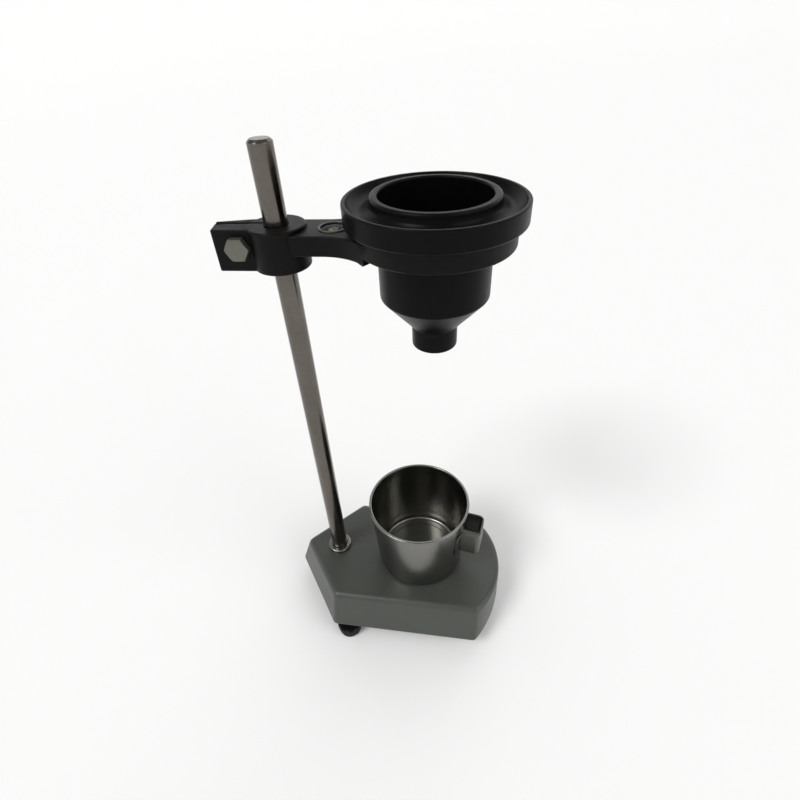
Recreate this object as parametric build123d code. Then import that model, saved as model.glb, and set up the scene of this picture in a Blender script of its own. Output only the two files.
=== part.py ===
from build123d import *
import math
import os

# Viscosity flow cup held by an arm on a rod stand, with a receiving cup on the base.
# Sizes are in millimetres. The model is built with the rod axis at X = Y = 0 and the
# ground at Z = 0, and is moved to the centre of its footprint at the end.

# Base casting
BASE_THICKNESS = 23.5
BASE_SIDE_FLARE = 10.0
BASE_TIP_FLARE = 8.3
BASE_FRONT_FLARE = 0.6
BASE_TIP_REACH = 26.0
BASE_TIP_ROUND = 5.0
BASE_SHOULDER_X = 8.0
BASE_SHOULDER_HALF = 40.4
BASE_SHOULDER_ROUND = 4.0
BASE_FRONT_X = 108.0
BASE_FRONT_HALF = 34.5
BASE_FRONT_ROUND = 4.0
BASE_BULGE = 13.0
BASE_TOP_EDGE_ROUND = 3.0
BASE_WALL = 5.0
BASE_TOP_PLATE = 7.0
BASE_RIB_THICKNESS = 4.0
BASE_RIB_DEPTH = 9.0

# Rod and what holds it
ROD_DIAMETER = 11.0
ROD_LENGTH = 282.5
ROD_TOP_CHAMFER = 1.2
ROD_THREAD_DIAMETER = 8.0
ROD_BOSS_DIAMETER = 26.0
ROD_BOSS_CLEARANCE_ABOVE_UNDERSIDE = 11.0
COLLAR_DIAMETER = 17.0
COLLAR_HEIGHT = 3.0
COLLAR_CHAMFER = 0.7
WASHER_DIAMETER = 18.0
WASHER_THICKNESS = 1.6
ROD_NUT_FLATS = 13.0
ROD_NUT_HEIGHT = 6.5
THREAD_RUN_PAST_NUT = 1.0

# Feet
FOOT_GAP = 14.5
FOOT_X = 17.0
FOOT_Y = 43.9
FOOT_PAD_DIAMETER = 17.0
FOOT_PAD_HEIGHT = 4.0
FOOT_KNOB_DIAMETER = 17.5
FOOT_KNOB_HEIGHT = 6.0
FOOT_KNOB_NOTCHES = 8
FOOT_KNOB_NOTCH_RADIUS = 0.9
FOOT_STUD_DIAMETER = 5.0
FOOT_STUD_REACH = 5.0
FOOT_STUD_SEAT_DEPTH = 1.5
FOOT_HOLE_DEPTH = 6.5
FOOT_BOSS_DIAMETER = 12.0
FIXED_FOOT_X = 108.0
FIXED_FOOT_DIAMETER = 16.0
FIXED_FOOT_DRAFT = 1.0
FIXED_FOOT_COUNTERBORE_DEPTH = 4.0
FIXED_SCREW_DIAMETER = 4.0
FIXED_SCREW_HEAD_DIAMETER = 8.0
FIXED_SCREW_HEAD_HEIGHT = 2.2
FIXED_SCREW_REACH = 8.0
FIXED_SCREW_SLOT = 1.0

# Arm
ARM_ANGLE = 5.5
ARM_REACH = 72.0
RING_DIAMETER = 72.6
RING_HEIGHT = 9.7
RING_EDGE_ROUND = 0.8
BEAM_WIDTH = 23.0
BEAM_HEIGHT = 9.3
BEAM_STEP_BELOW_RING = 3.5
BEAM_FLARE_RADIUS = 26.0
ARM_BOSS_DIAMETER = 27.0
ARM_BOSS_HEIGHT = 19.5
ARM_BOSS_STEP_BELOW_RING = 1.8
ARM_EDGE_ROUND = 0.8
LUG_REACH = 28.4
LUG_END_SLANT = 1.5
LUG_FRONT = 8.0
LUG_BACK = 6.8
LUG_BACK_AT_END = 3.6
LUG_SLIT = 1.6
LUG_SLIT_Y = 1.2
BOLT_X = 16.8
BOLT_BELOW_BOSS_TOP = 8.1
BOLT_DIAMETER = 6.0
BOLT_HEAD_FLATS = 10.0
BOLT_HEAD_HEIGHT = 3.6
BOLT_HEAD_CHAMFER = 0.5
NUT_FLATS = 10.0
NUT_HEIGHT = 5.0
NUT_SEAT_Y = 4.4
NUT_SEAT_DIAMETER = 12.8
BOLT_RUN_PAST_NUT = 1.5

# Round level in the beam
LEVEL_TO_RING = 9.5
LEVEL_DIAMETER = 14.0
LEVEL_DEPTH = 6.0
LEVEL_WALL = 1.2
LEVEL_FLOOR = 1.0
LEVEL_RIM_PROUD = 0.5
LEVEL_GLASS_THICKNESS = 1.4
LEVEL_GLASS_INSET = 0.3
LEVEL_BUBBLE_DIAMETER = 4.4
LEVEL_BUBBLE_DEPTH = 0.9

# Flow cup
CUP_LIP_ABOVE_BASE = 259.0
CUP_FLANGE_DIAMETER = 80.6
CUP_FLANGE_HEIGHT = 9.6
CUP_LIP_WIDTH = 1.8
CUP_GUTTER_DEPTH = 4.5
CUP_RIM_RISE = 1.8
CUP_RIM_WALL = 3.45
CUP_RIM_CHAMFER = 0.9
CUP_BORE_DIAMETER = 49.5
CUP_BODY_WALL = 1.5
CUP_BODY_END = 44.2
CUP_CONE_END = 61.2
CUP_SPIGOT_DIAMETER = 22.8
CUP_SPIGOT_CHAMFER = 1.2
CUP_HEIGHT_BELOW_LIP = 72.5
CUP_CONE_ANGLE = 81.0
ORIFICE_DIAMETER = 4.0
ORIFICE_LENGTH = 4.0
NOZZLE_DIAMETER = 12.0

# Receiving cup
JUG_X = 61.7
JUG_Y = 5.9
JUG_RIM_DIAMETER = 67.4
JUG_BASE_DIAMETER = 60.6
JUG_HEIGHT = 58.0
JUG_WALL = 1.0
JUG_BASE_ROUND = 3.0
JUG_BEAD_WIDTH = 0.7
JUG_BEAD_HEIGHT = 1.8
JUG_BEAD_SLOPE = 0.5
JUG_FLOOR_CHAMFER = 1.6
HANDLE_ANGLE = -7.0
HANDLE_HALF_WIDTH = 9.3
HANDLE_PROJECTION = 11.8
HANDLE_HEIGHT = 19.5
HANDLE_BELOW_RIM = 12.0
HANDLE_THICKNESS = 1.2
HANDLE_CORNER = 4.0
HANDLE_FOOT_LENGTH = 5.0

# Clearances, and how close two points count as one
ROD_CLEARANCE = 0.1
SCREW_CLEARANCE = 0.15
SEAT_CLEARANCE = 0.3
CUP_CLEARANCE = 0.4
POINT_TOLERANCE = 0.01

# Levels worked out from the sizes above
BASE_TOP = FOOT_GAP + BASE_THICKNESS
LIP_TOP = BASE_TOP + CUP_LIP_ABOVE_BASE
RING_TOP = LIP_TOP - CUP_FLANGE_HEIGHT
BEAM_TOP = RING_TOP - BEAM_STEP_BELOW_RING
BOSS_TOP = RING_TOP - ARM_BOSS_STEP_BELOW_RING
BOSS_BOTTOM = BOSS_TOP - ARM_BOSS_HEIGHT
BOLT_LEVEL = BOSS_TOP - BOLT_BELOW_BOSS_TOP
ROD_BOSS_BOTTOM = FOOT_GAP + ROD_BOSS_CLEARANCE_ABOVE_UNDERSIDE
LEVEL_X = ARM_REACH - RING_DIAMETER / 2 - LEVEL_TO_RING
CUP_BODY_DIAMETER = CUP_BORE_DIAMETER + 2 * CUP_BODY_WALL
CUP_RIM_DIAMETER = CUP_BORE_DIAMETER + 2 * CUP_RIM_WALL


def cylinder(radius, bottom, height, x=0.0, y=0.0):
    """Upright cylinder standing on the given level."""
    return Pos(x, y, bottom + height / 2) * Cylinder(radius, height)


def hexagon(flats, bottom, height):
    """Upright hexagonal prism on the Z axis, given across its flats."""
    face = RegularPolygon(flats / 2, 6, major_radius=False)
    return Pos(0, 0, bottom) * extrude(face, amount=height)


def turned(points):
    """Solid of revolution about Z from an outline of radius and level."""
    outline = make_face(Polyline(*[(radius, 0, level) for radius, level in points], close=True))
    return revolve(outline, axis=Axis.Z)


def along_arm(shape):
    """Puts a piece drawn on +X into the arm's resting direction."""
    return Rot(0, 0, ARM_ANGLE) * shape


def base_outline(tip_flare, side_flare, front_flare):
    """Plan outline of the casting: a pointed end at the rod and a bulged front."""
    tip = (-BASE_TIP_REACH - tip_flare, 0)
    shoulder = BASE_SHOULDER_HALF + side_flare
    front_x = BASE_FRONT_X + front_flare
    front = BASE_FRONT_HALF + side_flare
    apex = (front_x + BASE_BULGE, 0)
    left = (BASE_SHOULDER_X, shoulder)
    right = (BASE_SHOULDER_X, -shoulder)
    edges = Polyline((front_x, front), left, tip, right, (front_x, -front))
    edges += ThreePointArc((front_x, -front), apex, (front_x, front))
    face = make_face(edges)
    face = fillet(face.vertices().sort_by(Axis.X)[0:1], BASE_TIP_ROUND)
    shoulders = [v for v in face.vertices() if abs(v.X - BASE_SHOULDER_X) < POINT_TOLERANCE]
    face = fillet(shoulders, BASE_SHOULDER_ROUND)
    fronts = [v for v in face.vertices() if abs(v.X - front_x) < POINT_TOLERANCE]
    return fillet(fronts, BASE_FRONT_ROUND)


def flared_block(inset):
    """The casting's flared block, with its walls moved in by the given amount."""
    upper = base_outline(0, 0, 0)
    lower = base_outline(BASE_TIP_FLARE, BASE_SIDE_FLARE, BASE_FRONT_FLARE)
    if inset:
        upper = offset(upper, amount=-inset, kind=Kind.INTERSECTION)
        lower = offset(lower, amount=-inset, kind=Kind.INTERSECTION)
    lower = Pos(0, 0, FOOT_GAP) * lower
    upper = Pos(0, 0, BASE_TOP) * upper
    return loft([lower.face(), upper.face()], ruled=True)


def base_casting():
    body = flared_block(0)
    top_edges = body.faces().sort_by(Axis.Z)[-1].edges()
    body = fillet(top_edges, BASE_TOP_EDGE_ROUND)
    hollow_height = BASE_THICKNESS - BASE_TOP_PLATE
    room = 2 * (BASE_FRONT_X + BASE_BULGE + BASE_SHOULDER_HALF)
    slab = Pos(0, 0, FOOT_GAP + hollow_height / 2) * Box(room, room, hollow_height)
    hollow = flared_block(BASE_WALL) & slab
    body = body - hollow + ((base_bosses() + base_ribs()) & hollow)
    return body - base_holes()


def base_bosses():
    """Bosses on the underside for the rod, the levelling feet and the fixed foot."""
    top = BASE_TOP - BASE_TOP_PLATE
    pieces = cylinder(ROD_BOSS_DIAMETER / 2, ROD_BOSS_BOTTOM, top - ROD_BOSS_BOTTOM)
    for side in (-1, 1):
        pieces += cylinder(FOOT_BOSS_DIAMETER / 2, FOOT_GAP, top - FOOT_GAP, FOOT_X, side * FOOT_Y)
    pieces += cylinder(FIXED_FOOT_DIAMETER / 2, FOOT_GAP, top - FOOT_GAP, FIXED_FOOT_X)
    return pieces


def base_ribs():
    """Stiffening ribs under the top plate, one along the base and one across it."""
    top = BASE_TOP - BASE_TOP_PLATE
    level = top - BASE_RIB_DEPTH / 2
    length = FIXED_FOOT_X
    along = Pos(length / 2, 0, level) * Box(length, BASE_RIB_THICKNESS, BASE_RIB_DEPTH)
    across = Pos(FOOT_X, 0, level) * Box(BASE_RIB_THICKNESS, 2 * FOOT_Y, BASE_RIB_DEPTH)
    return along + across


def base_holes():
    """Holes for the rod's thread, the foot studs and the fixed foot's screw."""
    thread_radius = ROD_THREAD_DIAMETER / 2 + SCREW_CLEARANCE
    holes = cylinder(thread_radius, FOOT_GAP, BASE_THICKNESS + 1)
    washer_room = WASHER_DIAMETER / 2 + SEAT_CLEARANCE
    holes += cylinder(washer_room, FOOT_GAP, ROD_BOSS_CLEARANCE_ABOVE_UNDERSIDE)
    stud_radius = FOOT_STUD_DIAMETER / 2 + SCREW_CLEARANCE
    for side in (-1, 1):
        holes += cylinder(stud_radius, FOOT_GAP, FOOT_HOLE_DEPTH, FOOT_X, side * FOOT_Y)
    screw_radius = FIXED_SCREW_DIAMETER / 2 + SCREW_CLEARANCE
    holes += cylinder(screw_radius, FOOT_GAP, FIXED_SCREW_REACH + 1, FIXED_FOOT_X)
    return holes


def rod_collar():
    outer = cylinder(COLLAR_DIAMETER / 2, BASE_TOP, COLLAR_HEIGHT)
    outer = chamfer(outer.faces().sort_by(Axis.Z)[-1].edges(), COLLAR_CHAMFER)
    return outer - cylinder(ROD_DIAMETER / 2 + ROD_CLEARANCE, BASE_TOP, COLLAR_HEIGHT)


def stand_rod():
    rod = cylinder(ROD_DIAMETER / 2, BASE_TOP, ROD_LENGTH)
    rod = chamfer(rod.faces().sort_by(Axis.Z)[-1].edges(), ROD_TOP_CHAMFER)
    thread_end = ROD_BOSS_BOTTOM - WASHER_THICKNESS - ROD_NUT_HEIGHT - THREAD_RUN_PAST_NUT
    return rod + cylinder(ROD_THREAD_DIAMETER / 2, thread_end, BASE_TOP - thread_end)


def rod_washer():
    level = ROD_BOSS_BOTTOM - WASHER_THICKNESS
    washer = cylinder(WASHER_DIAMETER / 2, level, WASHER_THICKNESS)
    return washer - cylinder(ROD_THREAD_DIAMETER / 2 + SCREW_CLEARANCE, level, WASHER_THICKNESS)


def rod_nut():
    level = ROD_BOSS_BOTTOM - WASHER_THICKNESS - ROD_NUT_HEIGHT
    nut = hexagon(ROD_NUT_FLATS, level, ROD_NUT_HEIGHT)
    return nut - cylinder(ROD_THREAD_DIAMETER / 2 + ROD_CLEARANCE, level, ROD_NUT_HEIGHT)


def foot_pad(side):
    """Pad of a levelling foot, with a socket in which the stud turns."""
    pad = cylinder(FOOT_PAD_DIAMETER / 2, 0, FOOT_PAD_HEIGHT)
    socket_radius = FOOT_STUD_DIAMETER / 2 + SCREW_CLEARANCE
    socket_level = FOOT_PAD_HEIGHT - FOOT_STUD_SEAT_DEPTH
    pad -= cylinder(socket_radius, socket_level, FOOT_STUD_SEAT_DEPTH)
    return Pos(FOOT_X, side * FOOT_Y, 0) * pad


def foot_knob(side):
    """Notched knob of a levelling foot, through which the stud passes."""
    knob = cylinder(FOOT_KNOB_DIAMETER / 2, FOOT_PAD_HEIGHT, FOOT_KNOB_HEIGHT)
    notch = cylinder(FOOT_KNOB_NOTCH_RADIUS, FOOT_PAD_HEIGHT, FOOT_KNOB_HEIGHT)
    knob -= PolarLocations(FOOT_KNOB_DIAMETER / 2, FOOT_KNOB_NOTCHES) * notch
    knob -= cylinder(FOOT_STUD_DIAMETER / 2, FOOT_PAD_HEIGHT, FOOT_KNOB_HEIGHT)
    return Pos(FOOT_X, side * FOOT_Y, 0) * knob


def foot_stud(side):
    bottom = FOOT_PAD_HEIGHT - FOOT_STUD_SEAT_DEPTH
    stud = cylinder(FOOT_STUD_DIAMETER / 2, bottom, FOOT_GAP + FOOT_STUD_REACH - bottom)
    return Pos(FOOT_X, side * FOOT_Y, 0) * stud


def fixed_foot():
    top = FIXED_FOOT_DIAMETER / 2
    foot = turned([(0, 0), (top - FIXED_FOOT_DRAFT, 0), (top, FOOT_GAP), (0, FOOT_GAP)])
    foot -= cylinder(FIXED_SCREW_DIAMETER / 2 + SCREW_CLEARANCE, 0, FOOT_GAP)
    head_room = FIXED_SCREW_HEAD_DIAMETER / 2 + SEAT_CLEARANCE
    foot -= cylinder(head_room, 0, FIXED_FOOT_COUNTERBORE_DEPTH)
    return Pos(FIXED_FOOT_X, 0, 0) * foot


def fixed_foot_screw():
    head_top = FIXED_FOOT_COUNTERBORE_DEPTH
    head_bottom = head_top - FIXED_SCREW_HEAD_HEIGHT
    screw = cylinder(FIXED_SCREW_HEAD_DIAMETER / 2, head_bottom, FIXED_SCREW_HEAD_HEIGHT)
    shank = FOOT_GAP + FIXED_SCREW_REACH - head_top
    screw += cylinder(FIXED_SCREW_DIAMETER / 2, head_top, shank)
    slot_depth = FIXED_SCREW_HEAD_HEIGHT / 2
    slot = Box(FIXED_SCREW_HEAD_DIAMETER, FIXED_SCREW_SLOT, slot_depth)
    screw -= Pos(0, 0, head_bottom + slot_depth / 2) * slot
    return Pos(FIXED_FOOT_X, 0, 0) * screw


def arm_plan():
    """Plan of the beam with its flares into the ring."""
    ring = Pos(ARM_REACH, 0) * Circle(RING_DIAMETER / 2)
    beam = Pos(ARM_REACH / 2, 0) * Rectangle(ARM_REACH, BEAM_WIDTH)
    plan = ring + beam
    ring_side = ARM_REACH - RING_DIAMETER / 2
    joins = [v for v in plan.vertices() if ring_side / 2 < v.X < ARM_REACH]
    return fillet(joins, BEAM_FLARE_RADIUS)


def lug_plan():
    """Plan of the clamp lug: straight front, back that widens towards the boss."""
    end = -LUG_REACH - LUG_END_SLANT
    outline = Polyline(
        (0, -LUG_FRONT),
        (-LUG_REACH, -LUG_FRONT),
        (end, LUG_BACK_AT_END),
        (-ARM_BOSS_DIAMETER / 2, LUG_BACK),
        (0, LUG_BACK),
        close=True,
    )
    return make_face(outline)


def support_arm():
    beam = Pos(0, 0, BEAM_TOP - BEAM_HEIGHT) * extrude(arm_plan(), amount=BEAM_HEIGHT)
    ring = cylinder(RING_DIAMETER / 2, RING_TOP - RING_HEIGHT, RING_HEIGHT, ARM_REACH)
    boss = cylinder(ARM_BOSS_DIAMETER / 2, BOSS_BOTTOM, ARM_BOSS_HEIGHT)
    lug = Pos(0, 0, BOSS_BOTTOM) * extrude(lug_plan(), amount=ARM_BOSS_HEIGHT)
    lug = fillet(lug.faces().sort_by(Axis.X)[0].edges(), ARM_EDGE_ROUND)
    ring = fillet(ring.faces().sort_by(Axis.Z)[0].edges(), RING_EDGE_ROUND)
    arm = boss + lug + beam + ring
    arm -= cylinder(ROD_DIAMETER / 2 + ROD_CLEARANCE, BOSS_BOTTOM, ARM_BOSS_HEIGHT)
    middle = (BOSS_TOP + BOSS_BOTTOM) / 2
    slit_length = 2 * LUG_REACH
    slit = Box(slit_length, LUG_SLIT, 2 * ARM_BOSS_HEIGHT)
    arm -= Pos(-slit_length / 2, LUG_SLIT_Y, middle) * slit
    bore = CUP_BODY_DIAMETER / 2 + CUP_CLEARANCE
    arm -= cylinder(bore, BOSS_BOTTOM, RING_TOP - BOSS_BOTTOM, ARM_REACH)
    level_seat = BEAM_TOP - LEVEL_DEPTH
    arm -= cylinder(LEVEL_DIAMETER / 2, level_seat, RING_TOP - level_seat, LEVEL_X)
    across = Pos(-BOLT_X, 0, BOLT_LEVEL) * Rot(90, 0, 0)
    arm -= across * Cylinder(BOLT_DIAMETER / 2 + SCREW_CLEARANCE, 2 * LUG_REACH)
    seat = cylinder(NUT_SEAT_DIAMETER / 2, -NUT_SEAT_Y - NUT_HEIGHT, NUT_HEIGHT)
    return along_arm(arm - across * seat)


def clamp_bolt():
    """Hexagon bolt across the slit, with its head on the front of the lug."""
    head = hexagon(BOLT_HEAD_FLATS, 0, BOLT_HEAD_HEIGHT)
    head = chamfer(head.faces().sort_by(Axis.Z)[-1].edges(), BOLT_HEAD_CHAMFER)
    shank_length = LUG_FRONT + NUT_SEAT_Y + NUT_HEIGHT + BOLT_RUN_PAST_NUT
    bolt = head + cylinder(BOLT_DIAMETER / 2, -shank_length, shank_length)
    return along_arm(Pos(-BOLT_X, -LUG_FRONT, BOLT_LEVEL) * Rot(90, 0, 0) * bolt)


def clamp_nut():
    """Nut on the flat seat at the back of the lug."""
    nut = hexagon(NUT_FLATS, 0, NUT_HEIGHT)
    nut -= cylinder(BOLT_DIAMETER / 2 + ROD_CLEARANCE, 0, NUT_HEIGHT)
    return along_arm(Pos(-BOLT_X, NUT_SEAT_Y, BOLT_LEVEL) * Rot(-90, 0, 0) * nut)


def level_housing():
    """Round metal pot of the level, let into the beam with its rim just proud."""
    bottom = BEAM_TOP - LEVEL_DEPTH
    height = LEVEL_DEPTH + LEVEL_RIM_PROUD
    pot = cylinder(LEVEL_DIAMETER / 2, bottom, height)
    pot -= cylinder(LEVEL_DIAMETER / 2 - LEVEL_WALL, bottom + LEVEL_FLOOR, height)
    return along_arm(Pos(LEVEL_X, 0, 0) * pot)


def level_fluid():
    """Liquid in the pot, with the bubble's hollow under the glass."""
    bottom = BEAM_TOP - LEVEL_DEPTH + LEVEL_FLOOR
    glass_bottom = BEAM_TOP + LEVEL_RIM_PROUD - LEVEL_GLASS_INSET - LEVEL_GLASS_THICKNESS
    fluid = cylinder(LEVEL_DIAMETER / 2 - LEVEL_WALL, bottom, glass_bottom - bottom)
    half = LEVEL_BUBBLE_DIAMETER / 2
    ball = (half * half + LEVEL_BUBBLE_DEPTH * LEVEL_BUBBLE_DEPTH) / (2 * LEVEL_BUBBLE_DEPTH)
    fluid -= Pos(0, 0, glass_bottom - LEVEL_BUBBLE_DEPTH + ball) * Sphere(ball)
    return along_arm(Pos(LEVEL_X, 0, 0) * fluid)


def level_window():
    top = BEAM_TOP + LEVEL_RIM_PROUD - LEVEL_GLASS_INSET
    radius = LEVEL_DIAMETER / 2 - LEVEL_WALL
    glass = cylinder(radius, top - LEVEL_GLASS_THICKNESS, LEVEL_GLASS_THICKNESS)
    return along_arm(Pos(LEVEL_X, 0, 0) * glass)


def cone_level(radius):
    """Level below the lip at which the inner cone has the given radius."""
    orifice_top = -CUP_HEIGHT_BELOW_LIP + ORIFICE_LENGTH
    slope = math.tan(math.radians(CUP_CONE_ANGLE / 2))
    return orifice_top + (radius - ORIFICE_DIAMETER / 2) / slope


def flow_cup_body():
    """Cup with an overflow gutter round its rim, a body, a cone and a spigot."""
    bore = CUP_BORE_DIAMETER / 2
    rim = CUP_RIM_DIAMETER / 2
    flange = CUP_FLANGE_DIAMETER / 2
    body = CUP_BODY_DIAMETER / 2
    spigot = CUP_SPIGOT_DIAMETER / 2
    nozzle = NOZZLE_DIAMETER / 2
    lip_inner = flange - CUP_LIP_WIDTH
    gutter_middle = (lip_inner + rim) / 2
    floor = -CUP_HEIGHT_BELOW_LIP
    inside = Polyline(
        (rim, 0, CUP_RIM_RISE),
        (bore, 0, CUP_RIM_RISE),
        (bore, 0, cone_level(bore)),
        (nozzle, 0, cone_level(nozzle)),
        (nozzle, 0, floor),
        (spigot, 0, floor),
        (spigot, 0, -CUP_CONE_END),
        (body, 0, -CUP_BODY_END),
        (body, 0, -CUP_FLANGE_HEIGHT),
        (flange, 0, -CUP_FLANGE_HEIGHT),
        (flange, 0, 0),
        (lip_inner, 0, 0),
    )
    gutter_end = -CUP_RIM_RISE / 2
    gutter = ThreePointArc(
        (lip_inner, 0, 0), (gutter_middle, 0, -CUP_GUTTER_DEPTH), (rim, 0, gutter_end)
    )
    wall = Line((rim, 0, gutter_end), (rim, 0, CUP_RIM_RISE))
    cup = revolve(make_face(inside + gutter + wall), axis=Axis.Z)
    rim_edges = [e for e in cup.edges() if abs(e.center().Z - CUP_RIM_RISE) < POINT_TOLERANCE]
    cup = chamfer(rim_edges, CUP_RIM_CHAMFER)
    lower = cup.faces().filter_by(Plane.XY).sort_by(Axis.Z)[0].edges()
    cup = chamfer(lower.sort_by(SortBy.LENGTH)[-1:], CUP_SPIGOT_CHAMFER)
    return along_arm(Pos(ARM_REACH, 0, LIP_TOP) * cup)


def flow_nozzle():
    """Stainless insert with the measuring orifice and the lowest part of the cone."""
    nozzle = NOZZLE_DIAMETER / 2
    orifice = ORIFICE_DIAMETER / 2
    floor = -CUP_HEIGHT_BELOW_LIP
    insert = turned(
        [
            (orifice, floor),
            (nozzle, floor),
            (nozzle, cone_level(nozzle)),
            (orifice, cone_level(orifice)),
        ]
    )
    return along_arm(Pos(ARM_REACH, 0, LIP_TOP) * insert)


def receiving_cup_shell():
    """Tapered sheet cup with a beaded rim and a rounded bottom edge."""
    base = JUG_BASE_DIAMETER / 2
    rim = JUG_RIM_DIAMETER / 2
    outer = turned([(0, 0), (base, 0), (rim, JUG_HEIGHT), (0, JUG_HEIGHT)])
    outer = fillet(outer.faces().sort_by(Axis.Z)[0].edges(), JUG_BASE_ROUND)
    inner = turned(
        [
            (0, JUG_WALL),
            (jug_radius(JUG_WALL) - JUG_WALL, JUG_WALL),
            (rim - JUG_WALL, JUG_HEIGHT),
            (0, JUG_HEIGHT),
        ]
    )
    inner = chamfer(inner.faces().sort_by(Axis.Z)[0].edges(), JUG_FLOOR_CHAMFER)
    shell = outer + jug_bead() - inner
    return Pos(JUG_X, JUG_Y, BASE_TOP) * shell


def jug_bead():
    """Narrow turned-out bead round the receiving cup's rim."""
    foot = JUG_HEIGHT - JUG_BEAD_HEIGHT
    width = jug_radius(JUG_HEIGHT) + JUG_BEAD_WIDTH
    return turned(
        [
            (0, foot),
            (jug_radius(foot), foot),
            (width, foot + JUG_BEAD_SLOPE),
            (width, JUG_HEIGHT - JUG_BEAD_SLOPE),
            (width - JUG_BEAD_SLOPE, JUG_HEIGHT),
            (0, JUG_HEIGHT),
        ]
    )


def jug_radius(level):
    """Outer radius of the receiving cup at a level above its foot."""
    base = JUG_BASE_DIAMETER / 2
    return base + (JUG_RIM_DIAMETER / 2 - base) * level / JUG_HEIGHT


def receiving_cup_handle():
    """Flat band bent to a square loop, with its two ends on the cup's wall."""
    top = JUG_HEIGHT - HANDLE_BELOW_RIM
    bottom = top - HANDLE_HEIGHT
    reach = jug_radius(top) + HANDLE_PROJECTION
    block = Rectangle(reach, 2 * HANDLE_HALF_WIDTH, align=(Align.MIN, Align.CENTER))
    block = fillet(block.vertices().group_by(Axis.X)[-1], HANDLE_CORNER)
    hole = offset(block, amount=-HANDLE_THICKNESS)
    band = extrude(Pos(0, 0, bottom) * (block - hole), amount=HANDLE_HEIGHT)
    feet = extrude(Pos(0, 0, bottom) * handle_feet(), amount=HANDLE_HEIGHT)
    base = JUG_BASE_DIAMETER / 2
    rim = JUG_RIM_DIAMETER / 2
    cup = turned([(0, 0), (base, 0), (rim, JUG_HEIGHT), (0, JUG_HEIGHT)])
    grown = [(0, 0), (base + HANDLE_THICKNESS, 0), (rim + HANDLE_THICKNESS, JUG_HEIGHT)]
    foot_skin = turned(grown + [(0, JUG_HEIGHT)])
    handle = (band + (feet & foot_skin)) - cup
    return Pos(JUG_X, JUG_Y, BASE_TOP) * Rot(0, 0, HANDLE_ANGLE) * handle


def handle_feet():
    """Plan of the two ends that lie flat on the cup's wall."""
    reach = JUG_RIM_DIAMETER
    middle = HANDLE_HALF_WIDTH + HANDLE_FOOT_LENGTH / 2 - HANDLE_THICKNESS / 2
    width = HANDLE_FOOT_LENGTH + HANDLE_THICKNESS
    strip = Rectangle(reach, width, align=(Align.MIN, Align.CENTER))
    return Pos(0, middle) * strip + Pos(0, -middle) * strip


def nodes():
    """Every sub-part under its name."""
    made = {
        "base_casting": base_casting(),
        "rod_collar": rod_collar(),
        "fixed_foot": fixed_foot(),
        "fixed_foot_screw": fixed_foot_screw(),
        "stand_rod": stand_rod(),
        "rod_washer": rod_washer(),
        "rod_nut": rod_nut(),
        "support_arm": support_arm(),
        "clamp_nut": clamp_nut(),
        "clamp_bolt": clamp_bolt(),
        "level_housing": level_housing(),
        "level_fluid": level_fluid(),
        "level_window": level_window(),
        "flow_cup_body": flow_cup_body(),
        "flow_nozzle": flow_nozzle(),
        "receiving_cup_shell": receiving_cup_shell(),
        "receiving_cup_handle": receiving_cup_handle(),
    }
    for name, side in (("front", -1), ("rear", 1)):
        made[f"foot_pad_{name}"] = foot_pad(side)
        made[f"foot_knob_{name}"] = foot_knob(side)
        made[f"foot_stud_{name}"] = foot_stud(side)
    return made


def centre_shift(shapes):
    """Move that puts the middle of the footprint over the origin."""
    boxes = [shape.bounding_box() for shape in shapes]
    middle_x = (min(box.min.X for box in boxes) + max(box.max.X for box in boxes)) / 2
    middle_y = (min(box.min.Y for box in boxes) + max(box.max.Y for box in boxes)) / 2
    return -middle_x, -middle_y


os.makedirs("parts", exist_ok=True)
made = nodes()
shift_x, shift_y = centre_shift(made.values())
print("moved by", round(shift_x, 4), round(shift_y, 4))
for node, shape in made.items():
    export_step(Pos(shift_x, shift_y, 0) * shape, f"parts/{node}.step")
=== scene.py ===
"""Viscosity flow cup on its stand: materials, finer pieces, floor, light and camera.

Everything is in metres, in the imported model's own frame, with the ground at Z = 0.
"""

from __future__ import annotations

import logging
import math
from dataclasses import dataclass, field
from enum import Enum

import bmesh
import bpy
import numpy as np
from mathutils import Matrix, Vector

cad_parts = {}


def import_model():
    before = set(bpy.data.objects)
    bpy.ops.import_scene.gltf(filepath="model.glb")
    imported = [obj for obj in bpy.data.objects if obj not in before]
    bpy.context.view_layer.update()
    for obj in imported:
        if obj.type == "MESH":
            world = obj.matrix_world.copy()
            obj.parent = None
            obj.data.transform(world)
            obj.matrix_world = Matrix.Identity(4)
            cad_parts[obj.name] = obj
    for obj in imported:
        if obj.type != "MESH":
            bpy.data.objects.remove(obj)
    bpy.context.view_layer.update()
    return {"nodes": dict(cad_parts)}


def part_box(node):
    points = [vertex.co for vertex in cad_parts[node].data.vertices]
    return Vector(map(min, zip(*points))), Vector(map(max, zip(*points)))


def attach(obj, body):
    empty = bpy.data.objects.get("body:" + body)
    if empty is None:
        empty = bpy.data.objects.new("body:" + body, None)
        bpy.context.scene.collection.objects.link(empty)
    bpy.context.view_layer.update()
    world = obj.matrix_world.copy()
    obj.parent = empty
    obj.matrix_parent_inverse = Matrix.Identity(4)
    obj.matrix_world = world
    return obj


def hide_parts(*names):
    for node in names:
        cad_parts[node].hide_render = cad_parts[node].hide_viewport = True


LOG = logging.getLogger("flow_cup_scene")
MM = 0.001


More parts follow.
